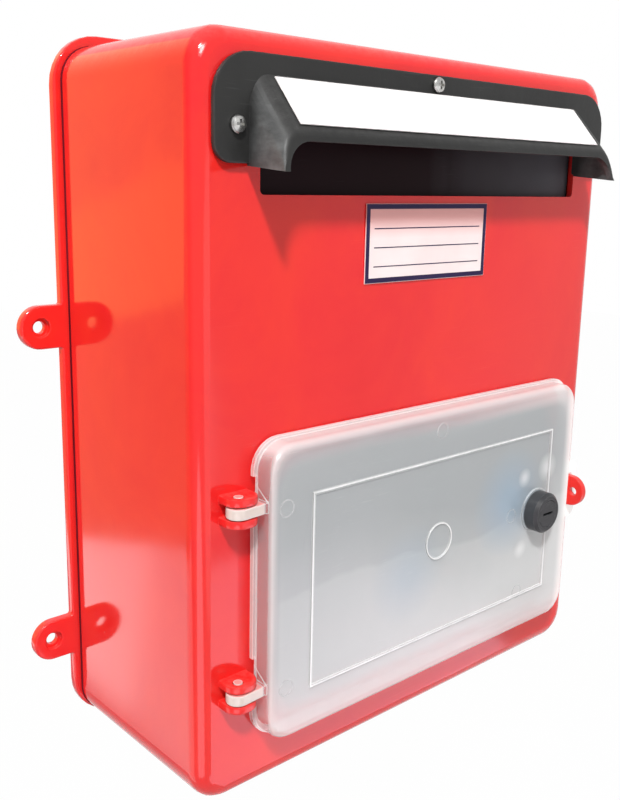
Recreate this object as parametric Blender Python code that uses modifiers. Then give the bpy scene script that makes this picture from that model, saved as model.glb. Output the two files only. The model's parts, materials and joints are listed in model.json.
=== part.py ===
# Wall-mounted suggestion box: moulded casing, back plate with ears, hooded posting slot with a
# hanging flap, name card, and a translucent collection door with a cam lock and a padlock staple.
#
# Metres, +Z up. The origin is the centre of the back plate's wall face. The front looks along -Y.
# "Proud" sizes are distances out of the casing's front face, towards whoever posts a slip.

import math

import bmesh
import bpy
from mathutils import Matrix

# Casing
BOX_WIDTH = 0.2674
BOX_HEIGHT = 0.320
BOX_DEPTH = 0.105
WALL = 0.003
CORNER_RADIUS = 0.016
FRONT_EDGE_RADIUS = 0.007
DRAFT = 0.0012

# Clearances shared by every joint line
SEAM_GAP = 0.0003
RUNNING_GAP = 0.00015
ROOT = 0.001
OVERRUN = 0.002

# Back plate and its four wall ears
PLATE_THICKNESS = 0.005
PLATE_OVERHANG = 0.0036
PLATE_EDGE_ROUND = 0.001
PLATE_TOP_REACH = 0.0012
PLATE_FOOT_TRIM = 0.0018
PLATE_CORNER_EXTRA = 0.0025
RIDGE_HEIGHT = 0.004
RIDGE_WIDTH = 0.0025
EAR_RADIUS = 0.010
EAR_REACH = 0.0102
EAR_ROOT_RADIUS = 0.001
EAR_FIRST_HEIGHT = 0.0441
EAR_SPACING = 0.1534
EAR_HOLE_RADIUS = 0.0028
EAR_SEAT_RADIUS = 0.0045
EAR_SEAT_DEPTH = 0.0024

# Screw columns inside the casing, and the screws that hold the back plate
COLUMN_RADIUS = 0.005
COLUMN_INSET = 0.016
PLATE_SCREW_RADIUS = 0.00145
PLATE_SCREW_HEAD_RADIUS = 0.0034
PLATE_SCREW_HEAD_DEPTH = 0.002
PLATE_SCREW_LENGTH = 0.016
SCREW_TIP = 0.001
CROWN_SHARE = 0.62

# Hood: flange, canopy and the slip-proof lip
HOOD_TOP_MARGIN = 0.0092
HOOD_SIDE_MARGIN = 0.0075
HOOD_RIGHT_REACH = 0.0032
HOOD_HEIGHT = 0.0408
HOOD_THICKNESS = 0.0025
HOOD_EDGE_ROUND = 0.0007
HOOD_TOP_RADIUS = 0.017
HOOD_FOOT_RADIUS = 0.008
CANOPY_TOP_DROP = 0.0078
CANOPY_SIDE_INSET = 0.0162
CANOPY_PROUD = 0.0212
CANOPY_FALL = 0.0214
CANOPY_LEAN = 0.0028
CANOPY_FOOT_DROP = 0.003
CANOPY_FOOT_RISE = 0.0022
CANOPY_WALL = 0.0026
CANOPY_CORNER_RADIUS = 0.009
CANOPY_EDGE_RADIUS = 0.0015
LIP_HEIGHT = 0.0034
LIP_CORNER_RADIUS = 0.0115
LABEL_WIDTH = 0.198
LABEL_HEIGHT = 0.0237
LABEL_DROP = 0.010
STICKER_THICKNESS = 0.0004

# Hood screws, washers and nuts
HOOD_SCREW_INSET = 0.0104
HOOD_SCREW_RISE = 0.0141
HOOD_SCREW_TOP_DROP = 0.0043
HOOD_SCREW_SHIFT = 0.005
HOOD_SCREW_RADIUS = 0.00175
HOOD_SCREW_HEAD_RADIUS = 0.0034
HOOD_SCREW_HEAD_HEIGHT = 0.0023
WASHER_RADIUS = 0.0035
WASHER_THICKNESS = 0.0008
NUT_FLATS = 0.006
NUT_THICKNESS = 0.0028
SCREW_END = 0.0015
RECESS_LENGTH = 0.0036
RECESS_WIDTH = 0.0010
RECESS_DEPTH = 0.0012

# Posting slot and its hanging flap
SLOT_TOP_DROP = 0.013
SLOT_HEIGHT = 0.0316
SLOT_LEFT_MARGIN = 0.0089
SLOT_RIGHT_MARGIN = 0.0013
SLOT_CORNER_RADIUS = 0.002
FLAP_SIDE_GAP = 0.001
FLAP_THICKNESS = 0.0016
FLAP_BARREL_RADIUS = 0.0019
FLAP_WALL_GAP = 0.0004
FLAP_OVERLAP = 0.0024
FLAP_PIVOT_RISE = 0.006
FLAP_PIN_RADIUS = 0.0012
FLAP_LUG_WIDTH = 0.003
FLAP_LUG_RADIUS = 0.0032

# Name card
CARD_WIDTH = 0.082
CARD_HEIGHT = 0.0346
CARD_SHIFT = 0.0035
CARD_DROP = 0.0034

# Door: flange, dish and the window behind it
DOOR_LEFT_MARGIN = 0.0267
DOOR_RIGHT_MARGIN = 0.0187
DOOR_BOTTOM_MARGIN = 0.0249
DOOR_HEIGHT = 0.1356
DOOR_WALL = 0.002
DOOR_STANDOFF = 0.001
DOOR_CORNER_RADIUS = 0.0135
DISH_PROUD = 0.012
DISH_LEFT_INSET = 0.002
DISH_RIGHT_INSET = 0.0036
DISH_TOP_INSET = 0.0016
DISH_BOTTOM_INSET = 0.0006
DISH_DRAFT = 0.0003
DISH_CORNER_RADIUS = 0.0125
DISH_EDGE_RADIUS = 0.003
WINDOW_LEFT_INSET = 0.0155
WINDOW_RIGHT_INSET = 0.009
WINDOW_EDGE_INSET = 0.0155
WINDOW_CORNER_RADIUS = 0.012
FRAME_LINE_LEFT = 0.0227
FRAME_LINE_RIGHT = 0.0215
FRAME_LINE_TOP = 0.0228
FRAME_LINE_BOTTOM = 0.0205
FRAME_LINE_WIDTH = 0.0013
FRAME_LINE_HEIGHT = 0.0005
EMBLEM_SHIFT = 0.0035
EMBLEM_RISE = 0.0015
EMBLEM_RADIUS = 0.0093
EMBLEM_LINE_WIDTH = 0.0008

# Hinges: two pairs of lips on the casing, a lug with pins on the door between each pair
HINGE_OFFSET = 0.010
HINGE_PROUD = 0.006
HINGE_INSET = 0.027
HINGE_LIP_THICKNESS = 0.0036
HINGE_LIP_LEFT = 0.0056
HINGE_LIP_RIGHT = 0.0094
HINGE_LIP_REACH = 0.005
HINGE_LIP_CORNER = 0.0065
LUG_EDGE_ROUND = 0.0008
HINGE_LUG_THICKNESS = 0.0048
HINGE_LUG_RADIUS = 0.0052
HINGE_PIN_RADIUS = 0.002
HINGE_GAP = 0.0004
HINGE_NOTCH_CLEARANCE = 0.0015
NOTCH_ABOVE = 0.0055
NOTCH_BELOW = 0.001
GUSSET_RISE = 0.006
GUSSET_PROUD = 0.0004

# Padlock staple on the casing, and the hasp tab of the door
STAPLE_OFFSET = 0.009
STAPLE_THICKNESS = 0.004
STAPLE_RADIUS = 0.0088
STAPLE_PROUD = 0.0138
STAPLE_HOLE_RADIUS = 0.0022
STAPLE_HOLE_PROUD = 0.0072
HASP_CLEARANCE = 0.001
HASP_MARGIN = 0.004
HASP_HALF_HEIGHT = 0.0165
HASP_CORNER_RADIUS = 0.005

# Cam lock
LOCK_INSET = 0.036
LOCK_KNOB_RADIUS = 0.011
LOCK_KNOB_HEIGHT = 0.0085
LOCK_KNOB_ROUND = 0.0015
LOCK_BARREL_RADIUS = 0.008
LOCK_BORE_RADIUS = 0.0057
LOCK_FACE_RADIUS = 0.0072
LOCK_FACE_DEPTH = 0.002
LOCK_WASHER_THICKNESS = 0.0008
LOCK_WASHER_MARGIN = 0.003
LOCK_NUT_FLATS = 0.020
LOCK_NUT_THICKNESS = 0.004
COLLAR_WIDTH = 0.001
COLLAR_HEIGHT = 0.0008
KEY_SLOT_LENGTH = 0.0084
KEY_SLOT_WIDTH = 0.0016
KEY_SLOT_DEPTH = 0.015
CAM_THICKNESS = 0.002
CAM_CLEARANCE = 0.0008
CAM_CATCH = 0.008
CAM_HUB_RADIUS = 0.0075
CAM_TIP_RADIUS = 0.005
TENON_SIDE = 0.005
CAM_SCREW_RADIUS = 0.00125
CAM_SCREW_HEAD_RADIUS = 0.004
CAM_SCREW_HEAD_HEIGHT = 0.0018
CAM_SCREW_LENGTH = 0.009
POST_INSET = 0.047
POST_SPACING = 0.040
POST_RADIUS = 0.0038
POST_HEIGHT = 0.006

# Facets: how finely rounds are cut
CORNER_STEPS = 8
EDGE_STEPS = 4
FINE_STEPS = 3
ROUND_STEPS = 32
SMALL_STEPS = 20
WELD = 0.00001
SHARP_ANGLE = math.radians(32)

# Places worked out from the sizes above
HALF_WIDTH = BOX_WIDTH / 2
TOP = BOX_HEIGHT / 2
BOTTOM = -TOP
FRONT = -BOX_DEPTH
INNER_FACE = FRONT + WALL
RIM = -(PLATE_THICKNESS + SEAM_GAP)

HOOD_HALF_WIDTH = HALF_WIDTH - HOOD_SIDE_MARGIN
HOOD_TOP = TOP - HOOD_TOP_MARGIN
HOOD_BOTTOM = HOOD_TOP - HOOD_HEIGHT
HOOD_BACK = FRONT - SEAM_GAP
HOOD_FRONT = HOOD_BACK - HOOD_THICKNESS
CANOPY_HALF_WIDTH = HOOD_HALF_WIDTH - CANOPY_SIDE_INSET
CANOPY_ROOT = HOOD_TOP - CANOPY_TOP_DROP
CANOPY_RATE = CANOPY_FALL / (CANOPY_PROUD - HOOD_THICKNESS)
HOOD_SCREW_X = HOOD_HALF_WIDTH - HOOD_SCREW_INSET
HOOD_SCREWS = {
    "left": (-HOOD_SCREW_X, HOOD_BOTTOM + HOOD_SCREW_RISE),
    "middle": (-HOOD_SCREW_SHIFT, HOOD_TOP - HOOD_SCREW_TOP_DROP),
    "right": (HOOD_SCREW_X, HOOD_BOTTOM + HOOD_SCREW_RISE),
}

FLAP_HALF_WIDTH = HOOD_SCREW_X - WASHER_RADIUS - FLAP_SIDE_GAP
SLOT_LEFT = -FLAP_HALF_WIDTH + SLOT_LEFT_MARGIN
SLOT_RIGHT = FLAP_HALF_WIDTH - SLOT_RIGHT_MARGIN
SLOT_TOP = CANOPY_ROOT - SLOT_TOP_DROP
SLOT_BOTTOM = SLOT_TOP - SLOT_HEIGHT
FLAP_PIVOT_Y = INNER_FACE + FLAP_WALL_GAP + FLAP_BARREL_RADIUS
FLAP_PIVOT_Z = SLOT_TOP + FLAP_PIVOT_RISE

CARD_TOP = SLOT_BOTTOM - CARD_DROP

DOOR_LEFT = -HALF_WIDTH + DOOR_LEFT_MARGIN
DOOR_RIGHT = HALF_WIDTH - DOOR_RIGHT_MARGIN
DOOR_BOTTOM = BOTTOM + DOOR_BOTTOM_MARGIN
DOOR_TOP = DOOR_BOTTOM + DOOR_HEIGHT
DOOR_MIDDLE = (DOOR_BOTTOM + DOOR_TOP) / 2
FLANGE_BACK = FRONT - DOOR_STANDOFF
DISH_FRONT = FRONT - DISH_PROUD
DISH_LEFT = DOOR_LEFT + DISH_LEFT_INSET
DISH_RIGHT = DOOR_RIGHT - DISH_RIGHT_INSET
DISH_BOTTOM = DOOR_BOTTOM + DISH_BOTTOM_INSET
DISH_TOP = DOOR_TOP - DISH_TOP_INSET
WINDOW_LEFT = DOOR_LEFT + WINDOW_LEFT_INSET
WINDOW_RIGHT = DOOR_RIGHT - WINDOW_RIGHT_INSET
WINDOW_BOTTOM = DOOR_BOTTOM + WINDOW_EDGE_INSET
WINDOW_TOP = DOOR_TOP - WINDOW_EDGE_INSET

HINGE_X = DOOR_LEFT - HINGE_OFFSET
HINGE_Y = FRONT - HINGE_PROUD
HINGE_HEIGHTS = {"lower": DOOR_BOTTOM + HINGE_INSET, "upper": DOOR_TOP - HINGE_INSET}
HINGE_HALF_STACK = HINGE_LUG_THICKNESS / 2 + HINGE_GAP + HINGE_LIP_THICKNESS
LIP_SWING = math.hypot(HINGE_LIP_RIGHT, HINGE_PROUD)

STAPLE_X = DOOR_RIGHT + STAPLE_OFFSET
LOCK_X = DOOR_RIGHT - LOCK_INSET
LOCK_FRONT = DISH_FRONT - LOCK_KNOB_HEIGHT
CAM_FRONT = INNER_FACE + CAM_CLEARANCE
BARREL_END = CAM_FRONT - SEAM_GAP
CAM_BACK = CAM_FRONT + CAM_THICKNESS
TENON_END = CAM_BACK - SEAM_GAP / 2
CAM_LENGTH = WINDOW_RIGHT - LOCK_X + CAM_CATCH


# Frames: local X and Y lie in the piece, local Z is the way it gets thicker


def facing_front(y):
    """Local Z points out of the front, from depth y."""
    return Matrix.Translation((0, y, 0)) @ Matrix.Rotation(math.pi / 2, 4, "X")


def facing_up(z):
    """Local Z is up, from height z."""
    return Matrix.Translation((0, 0, z))


def facing_right(x):
    """Local X is depth, local Y is up and local Z points right, from place x."""
    turn = Matrix(((0, 0, 1, 0), (1, 0, 0, 0), (0, 1, 0, 0), (0, 0, 0, 1)))
    return Matrix.Translation((x, 0, 0)) @ turn


# Outlines


def arc(centre, radius, start, end, steps):
    """Points from angle start to angle end, in degrees, both ends included."""
    points = []
    for i in range(steps + 1):
        angle = math.radians(start + (end - start) * i / steps)
        points.append((centre[0] + radius * math.cos(angle), centre[1] + radius * math.sin(angle)))
    return points


def circle(centre, radius, steps):
    return arc(centre, radius, 0, 360, steps)[:-1]


def hexagon(centre, flats):
    return circle(centre, flats / math.sqrt(3), 6)


def rectangle(left, right, bottom, top):
    return [(left, bottom), (right, bottom), (right, top), (left, top)]


def rounded(left, right, bottom, top, foot_radius, head_radius, steps=CORNER_STEPS):
    """A rectangle with one radius at its two lower corners and one at its two upper corners."""
    points = arc((left + foot_radius, bottom + foot_radius), foot_radius, 180, 270, steps)
    points += arc((right - foot_radius, bottom + foot_radius), foot_radius, 270, 360, steps)
    points += arc((right - head_radius, top - head_radius), head_radius, 0, 90, steps)
    points += arc((left + head_radius, top - head_radius), head_radius, 90, 180, steps)
    return points


# Making, joining and cutting solids


def add_object(name, mesh, collection):
    piece = bpy.data.objects.new(name, mesh)
    collection.objects.link(piece)
    return piece


def mesh_from(name, form):
    mesh = bpy.data.meshes.new(name)
    form.to_mesh(mesh)
    form.free()
    return mesh


def height_span(face):
    heights = [vert.co.z for vert in face.verts]
    return max(heights) - min(heights)


def flat_mesh(name, outlines, thickness, place, edge_round=0.0):
    """A flat plate from one outline and the outlines of its holes."""
    curve = bpy.data.curves.new(name + "_outline", "CURVE")
    curve.dimensions = "2D"
    curve.fill_mode = "BOTH"
    curve.extrude = thickness / 2 - edge_round
    curve.bevel_depth = edge_round
    curve.bevel_resolution = 1
    curve.offset = -edge_round
    for outline in outlines:
        spline = curve.splines.new("POLY")
        spline.points.add(len(outline) - 1)
        for point, (x, y) in zip(spline.points, outline):
            point.co = (x, y, 0, 1)
        spline.use_cyclic_u = True
    guide = add_object(name + "_guide", curve, cutters)
    guide.matrix_world = place @ Matrix.Translation((0, 0, thickness / 2))
    bpy.context.view_layer.update()
    evaluated = guide.evaluated_get(bpy.context.evaluated_depsgraph_get())
    mesh = bpy.data.meshes.new_from_object(evaluated)
    form = bmesh.new()
    form.from_mesh(mesh)
    bmesh.ops.remove_doubles(form, verts=form.verts, dist=WELD)
    if len(outlines) == 1:
        caps = [f for f in form.faces if height_span(f) < WELD]
        bmesh.ops.delete(form, geom=caps, context="FACES_ONLY")
        loose = [e for e in form.edges if not e.link_faces]
        bmesh.ops.delete(form, geom=loose, context="EDGES")
        bmesh.ops.holes_fill(form, edges=form.edges)
        bmesh.ops.recalc_face_normals(form, faces=form.faces)
    form.transform(guide.matrix_world)
    form.to_mesh(mesh)
    form.free()
    mesh.name = name
    bpy.data.objects.remove(guide)
    bpy.data.curves.remove(curve)
    return mesh


def rounded_block(name, left, right, bottom, top, front, back, corner, edge, draft=0.0):
    """A block with rounded corners about Y and a rounded front edge, wider at the back by draft."""
    form = bmesh.new()
    bmesh.ops.create_cube(form, size=1.0)
    for vert in form.verts:
        spread = draft if vert.co.y > 0 else 0.0
        vert.co.x = right + spread if vert.co.x > 0 else left - spread
        vert.co.z = top + spread if vert.co.z > 0 else bottom - spread
        vert.co.y = back if vert.co.y > 0 else front
    middle = (front + back) / 2
    along = [e for e in form.edges if (e.verts[0].co.y - middle) * (e.verts[1].co.y - middle) < 0]
    round_edges(form, along, corner, CORNER_STEPS)
    if edge > 0:
        rim = [e for e in form.edges if max(v.co.y for v in e.verts) < middle]
        round_edges(form, rim, edge, EDGE_STEPS)
    return mesh_from(name, form)


def round_edges(form, edges, radius, steps):
    bmesh.ops.bevel(
        form,
        geom=edges,
        offset=radius,
        offset_type="OFFSET",
        segments=steps,
        profile=0.5,
        affect="EDGES",
        clamp_overlap=False,
    )


def rod_mesh(name, radius, place, length, steps=SMALL_STEPS):
    """A round rod that runs along local Z from the place given."""
    form = bmesh.new()
    bmesh.ops.create_cone(
        form,
        cap_ends=True,
        segments=steps,
        radius1=radius,
        radius2=radius,
        depth=length,
        matrix=place @ Matrix.Translation((0, 0, length / 2)),
    )
    return mesh_from(name, form)


def block_mesh(name, low, high):
    """A plain block between two corners."""
    form = bmesh.new()
    bmesh.ops.create_cube(form, size=1.0)
    for vert in form.verts:
        for i in range(3):
            vert.co[i] = high[i] if vert.co[i] > 0 else low[i]
    return mesh_from(name, form)


def turned_piece(name, profile, place, steps=SMALL_STEPS, closed=False):
    """A turned solid: a profile of (radius, height) that runs down its outer side."""
    count = len(profile)
    edges = [(i, i + 1) for i in range(count - 1)]
    if closed:
        edges.append((count - 1, 0))
    mesh = bpy.data.meshes.new(name)
    mesh.from_pydata([(radius, 0, height) for radius, height in profile], edges, [])
    piece = add_object(name, mesh, parts)
    piece.matrix_world = place
    screw = piece.modifiers.new("turn", "SCREW")
    screw.steps = steps
    screw.render_steps = steps
    screw.use_merge_vertices = True
    screw.merge_threshold = WELD
    screw.use_smooth_shade = True
    return piece


def combine(piece, mesh, operation):
    """Join a shape to the piece, or cut it out, with the exact solver."""
    tool = add_object(mesh.name + "_tool", mesh, cutters)
    tool.hide_render = True
    tool.display_type = "WIRE"
    tool.parent = piece
    tool.matrix_parent_inverse = piece.matrix_world.inverted()
    boolean = piece.modifiers.new(mesh.name, "BOOLEAN")
    boolean.operation = operation
    boolean.solver = "EXACT"
    boolean.object = tool


def join(piece, mesh):
    combine(piece, mesh, "UNION")


def cut(piece, mesh):
    combine(piece, mesh, "DIFFERENCE")


def finish(piece, material):
    piece.data.materials.append(material)
    if piece.data.polygons:
        piece.data.shade_smooth()
        piece.data.set_sharp_from_angle(angle=SHARP_ANGLE)
    return piece


def make_material(name, colour, roughness, metallic=0.0):
    material = bpy.data.materials.new(name)
    material.use_nodes = True
    shader = material.node_tree.nodes["Principled BSDF"]
    shader.inputs["Base Color"].default_value = (*colour, 1.0)
    shader.inputs["Roughness"].default_value = roughness
    shader.inputs["Metallic"].default_value = metallic
    return material


def add_pivot(name, location):
    pivot = bpy.data.objects.new(name, None)
    parts.objects.link(pivot)
    pivot.location = location
    return pivot


def carry(pivot, pieces):
    """Hang pieces on a pivot and keep them where they were made."""
    bpy.context.view_layer.update()
    for piece in pieces:
        place = piece.matrix_world.copy()
        piece.parent = pivot
        piece.matrix_parent_inverse = pivot.matrix_world.inverted()
        piece.matrix_world = place


# Casing


def make_front_shell():
    """The casing: a deep tray, open at the wall side, with everything moulded on it."""
    mesh = rounded_block(
        "front_shell", -HALF_WIDTH, HALF_WIDTH, BOTTOM, TOP, FRONT, RIM,
        CORNER_RADIUS, FRONT_EDGE_RADIUS, DRAFT,
    )
    form = bmesh.new()
    form.from_mesh(mesh)
    open_faces = [f for f in form.faces if min(v.co.y for v in f.verts) > RIM - WELD]
    bmesh.ops.delete(form, geom=open_faces, context="FACES")
    form.to_mesh(mesh)
    form.free()
    shell = add_object("front_shell", mesh, parts)
    wall = shell.modifiers.new("wall", "SOLIDIFY")
    wall.thickness = WALL
    wall.offset = -1.0
    wall.use_even_offset = True
    for index, (x, z) in enumerate(column_places(), start=1):
        place = facing_front(RIM) @ Matrix.Translation((x, z, 0))
        column_length = RIM - INNER_FACE + ROOT
        join(shell, rod_mesh(f"column_{index}", COLUMN_RADIUS, place, column_length))
    for name, height in HINGE_HEIGHTS.items():
        for side, low in hinge_lip_levels(height).items():
            join(shell, hinge_lip_mesh(f"{name}_{side}_lip", low))
    join(shell, staple_mesh())
    for side in (-1, 1):
        join(shell, flap_lug_mesh(side))
    cut_shell_openings(shell)
    return finish(shell, red_plastic)


def column_places():
    x = HALF_WIDTH - COLUMN_INSET
    z = TOP - COLUMN_INSET
    return [(-x, -z), (x, -z), (-x, z), (x, z)]


def hinge_lip_levels(height):
    """The lower face of each lip of one hinge."""
    gap = HINGE_LUG_THICKNESS / 2 + HINGE_GAP
    return {"low": height - gap - HINGE_LIP_THICKNESS, "high": height + gap}


def hinge_lip_mesh(name, low):
    """A lip: square at the casing, round at its nose, with the hole for the door's pin."""
    nose = HINGE_Y - HINGE_LIP_REACH
    left = HINGE_X - HINGE_LIP_LEFT
    right = HINGE_X + HINGE_LIP_RIGHT
    root = FRONT + ROOT
    corner = HINGE_LIP_CORNER
    outline = arc((left + corner, nose + corner), corner, 180, 270, CORNER_STEPS)
    outline += arc((right - corner, nose + corner), corner, 270, 360, CORNER_STEPS)
    outline += [(right, root), (left, root)]
    hole = circle((HINGE_X, HINGE_Y), HINGE_PIN_RADIUS + RUNNING_GAP, SMALL_STEPS)
    return flat_mesh(name, [outline, hole], HINGE_LIP_THICKNESS, facing_up(low), LUG_EDGE_ROUND)


def staple_mesh():
    """The padlock staple: a round-nosed lug square to the front, with its shackle hole."""
    centre = (FRONT - STAPLE_PROUD + STAPLE_RADIUS, DOOR_MIDDLE)
    root = FRONT + ROOT
    outline = arc(centre, STAPLE_RADIUS, 90, 270, 2 * CORNER_STEPS)
    outline += [(root, DOOR_MIDDLE - STAPLE_RADIUS), (root, DOOR_MIDDLE + STAPLE_RADIUS)]
    hole = circle((FRONT - STAPLE_HOLE_PROUD, DOOR_MIDDLE), STAPLE_HOLE_RADIUS, SMALL_STEPS)
    place = facing_right(STAPLE_X - STAPLE_THICKNESS / 2)
    return flat_mesh("staple", [outline, hole], STAPLE_THICKNESS, place, LUG_EDGE_ROUND)


def flap_lug_mesh(side):
    """A lug inside the casing, at one end of the slot, that takes a pin of the flap."""
    centre = (FLAP_PIVOT_Y, FLAP_PIVOT_Z)
    root = INNER_FACE - ROOT
    outline = arc(centre, FLAP_LUG_RADIUS, -90, 90, CORNER_STEPS)
    outline += [(root, FLAP_PIVOT_Z + FLAP_LUG_RADIUS), (root, FLAP_PIVOT_Z - FLAP_LUG_RADIUS)]
    hole = circle(centre, FLAP_PIN_RADIUS + RUNNING_GAP, SMALL_STEPS)
    inner = FLAP_HALF_WIDTH + SEAM_GAP
    start = inner if side > 0 else -inner - FLAP_LUG_WIDTH
    return flat_mesh(f"flap_lug_{side}", [outline, hole], FLAP_LUG_WIDTH, facing_right(start))


def cut_shell_openings(shell):
    """The slot, the window behind the door and every screw hole."""
    back = facing_front(INNER_FACE + OVERRUN)
    depth = WALL + 2 * OVERRUN
    slot = rounded(SLOT_LEFT, SLOT_RIGHT, SLOT_BOTTOM, SLOT_TOP, SLOT_CORNER_RADIUS, SLOT_CORNER_RADIUS)
    cut(shell, flat_mesh("slot", [slot], depth, back))
    window = rounded(
        WINDOW_LEFT, WINDOW_RIGHT, WINDOW_BOTTOM, WINDOW_TOP, WINDOW_CORNER_RADIUS, WINDOW_CORNER_RADIUS,
    )
    cut(shell, flat_mesh("window", [window], depth, back))
    for name, (x, z) in HOOD_SCREWS.items():
        place = back @ Matrix.Translation((x, z, 0))
        cut(shell, rod_mesh(f"hood_hole_{name}", HOOD_SCREW_RADIUS + SEAM_GAP, place, depth))
    hole_depth = PLATE_SCREW_LENGTH - PLATE_THICKNESS + OVERRUN
    for index, (x, z) in enumerate(column_places(), start=1):
        place = facing_front(RIM + OVERRUN) @ Matrix.Translation((x, z, 0))
        radius = PLATE_SCREW_RADIUS + SEAM_GAP
        cut(shell, rod_mesh(f"column_hole_{index}", radius, place, hole_depth + OVERRUN))


# Back plate


def ear_points(edge, height):
    """One ear on the right side, from its lower root to its upper root."""
    root = EAR_ROOT_RADIUS
    low = height - EAR_RADIUS
    high = height + EAR_RADIUS
    points = arc((edge + root, low - root), root, 180, 90, FINE_STEPS)
    points += arc((edge + EAR_REACH, height), EAR_RADIUS, -90, 90, 2 * CORNER_STEPS)
    points += arc((edge + root, high + root), root, 270, 180, FINE_STEPS)
    return points


def ear_heights():
    first = BOTTOM + EAR_FIRST_HEIGHT
    return [first, first + EAR_SPACING]


def plate_outline():
    """The plate with its four ears: the right half, then the same points mirrored."""
    edge = HALF_WIDTH + DRAFT + PLATE_OVERHANG
    end = TOP + DRAFT + PLATE_OVERHANG + PLATE_TOP_REACH
    foot = BOTTOM - DRAFT - PLATE_OVERHANG + PLATE_FOOT_TRIM
    radius = CORNER_RADIUS + PLATE_OVERHANG + PLATE_CORNER_EXTRA
    half = arc((edge - radius, foot + radius), radius, 270, 360, CORNER_STEPS)
    for height in ear_heights():
        half += ear_points(edge, height)
    half += arc((edge - radius, end - radius), radius, 0, 90, CORNER_STEPS)
    return half + [(-x, z) for x, z in reversed(half)]


def ear_centres():
    x = HALF_WIDTH + DRAFT + PLATE_OVERHANG + EAR_REACH
    return [(side * x, height) for side in (-1, 1) for height in ear_heights()]


def make_back_plate():
    """The plate that goes against the wall and closes the casing."""
    outline = plate_outline()
    mesh = flat_mesh("back_plate", [outline], PLATE_THICKNESS, facing_front(0), PLATE_EDGE_ROUND)
    plate = add_object("back_plate", mesh, parts)
    fit = WALL + SEAM_GAP - DRAFT
    outer_radius = CORNER_RADIUS - WALL - SEAM_GAP
    inner_radius = outer_radius - RIDGE_WIDTH
    inset = fit + RIDGE_WIDTH
    outer = rounded(
        -HALF_WIDTH + fit, HALF_WIDTH - fit, BOTTOM + fit, TOP - fit, outer_radius, outer_radius,
    )
    inner = rounded(
        -HALF_WIDTH + inset, HALF_WIDTH - inset, BOTTOM + inset, TOP - inset, inner_radius, inner_radius,
    )
    ridge_back = facing_front(ROOT - PLATE_THICKNESS)
    join(plate, flat_mesh("ridge", [outer, inner], RIDGE_HEIGHT + ROOT, ridge_back))
    for index, (x, z) in enumerate(ear_centres(), start=1):
        cut(plate, ear_hole_mesh(f"ear_hole_{index}", x, z))
    for index, (x, z) in enumerate(column_places(), start=1):
        cut(plate, countersink_mesh(f"countersink_{index}", x, z))
    return finish(plate, red_plastic)


def ear_hole_mesh(name, x, z):
    """The hole through one ear, with a round seat for the wall screw's head."""
    profile = [
        (0, PLATE_THICKNESS + OVERRUN),
        (EAR_SEAT_RADIUS, PLATE_THICKNESS + OVERRUN),
        (EAR_SEAT_RADIUS, PLATE_THICKNESS - EAR_SEAT_DEPTH),
        (EAR_HOLE_RADIUS, PLATE_THICKNESS - EAR_SEAT_DEPTH),
        (EAR_HOLE_RADIUS, -OVERRUN),
        (0, -OVERRUN),
    ]
    return spun_mesh(name, profile, facing_front(0) @ Matrix.Translation((x, z, 0)))


def countersink_mesh(name, x, z):
    """The hole and cone for one plate screw, opened from the wall side."""
    shank = PLATE_SCREW_RADIUS + SEAM_GAP
    head = PLATE_SCREW_HEAD_RADIUS + SEAM_GAP
    slope = (head - shank) / PLATE_SCREW_HEAD_DEPTH
    profile = [
        (0, PLATE_THICKNESS + OVERRUN),
        (shank, PLATE_THICKNESS + OVERRUN),
        (shank, PLATE_SCREW_HEAD_DEPTH),
        (head, 0),
        (head + slope * OVERRUN, -OVERRUN),
        (0, -OVERRUN),
    ]
    return spun_mesh(name, profile, facing_front(0) @ Matrix.Translation((x, z, 0)))


def spun_mesh(name, profile, place, steps=SMALL_STEPS):
    """A turned cutter, as a mesh."""
    form = bmesh.new()
    verts = [form.verts.new((radius, 0, height)) for radius, height in profile]
    edges = [form.edges.new(pair) for pair in zip(verts, verts[1:])]
    bmesh.ops.spin(
        form, geom=verts + edges, cent=(0, 0, 0), axis=(0, 0, 1), angle=2 * math.pi, steps=steps,
    )
    bmesh.ops.remove_doubles(form, verts=form.verts, dist=WELD)
    bmesh.ops.recalc_face_normals(form, faces=form.faces)
    form.transform(place)
    return mesh_from(name, form)


def cross_recess(piece, name, place):
    """Cut the two crossing bars of a cross recess, with the place at the head's top."""
    for turn in (0, math.pi / 2):
        bar = block_mesh(
            f"{name}_bar_{round(math.degrees(turn))}",
            (-RECESS_LENGTH / 2, -RECESS_WIDTH / 2, -RECESS_DEPTH),
            (RECESS_LENGTH / 2, RECESS_WIDTH / 2, OVERRUN),
        )
        bar.transform(place @ Matrix.Rotation(turn, 4, "Z"))
        cut(piece, bar)


def make_plate_screws():
    """Four countersunk screws that run from the wall side into the columns."""
    pieces = []
    for index, (x, z) in enumerate(column_places(), start=1):
        profile = [
            (0, 0),
            (PLATE_SCREW_HEAD_RADIUS, 0),
            (PLATE_SCREW_RADIUS, -PLATE_SCREW_HEAD_DEPTH),
            (PLATE_SCREW_RADIUS, -PLATE_SCREW_LENGTH + SCREW_TIP),
            (0, -PLATE_SCREW_LENGTH),
        ]
        wall_side = Matrix.Rotation(math.pi, 4, "X") @ facing_front(0)
        place = Matrix.Translation((x, 0, z)) @ wall_side
        name = f"plate_screw_{index}"
        screw = turned_piece(name, profile, place)
        cross_recess(screw, name, place)
        pieces.append(finish(screw, steel))
    return pieces


# Hood


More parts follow.
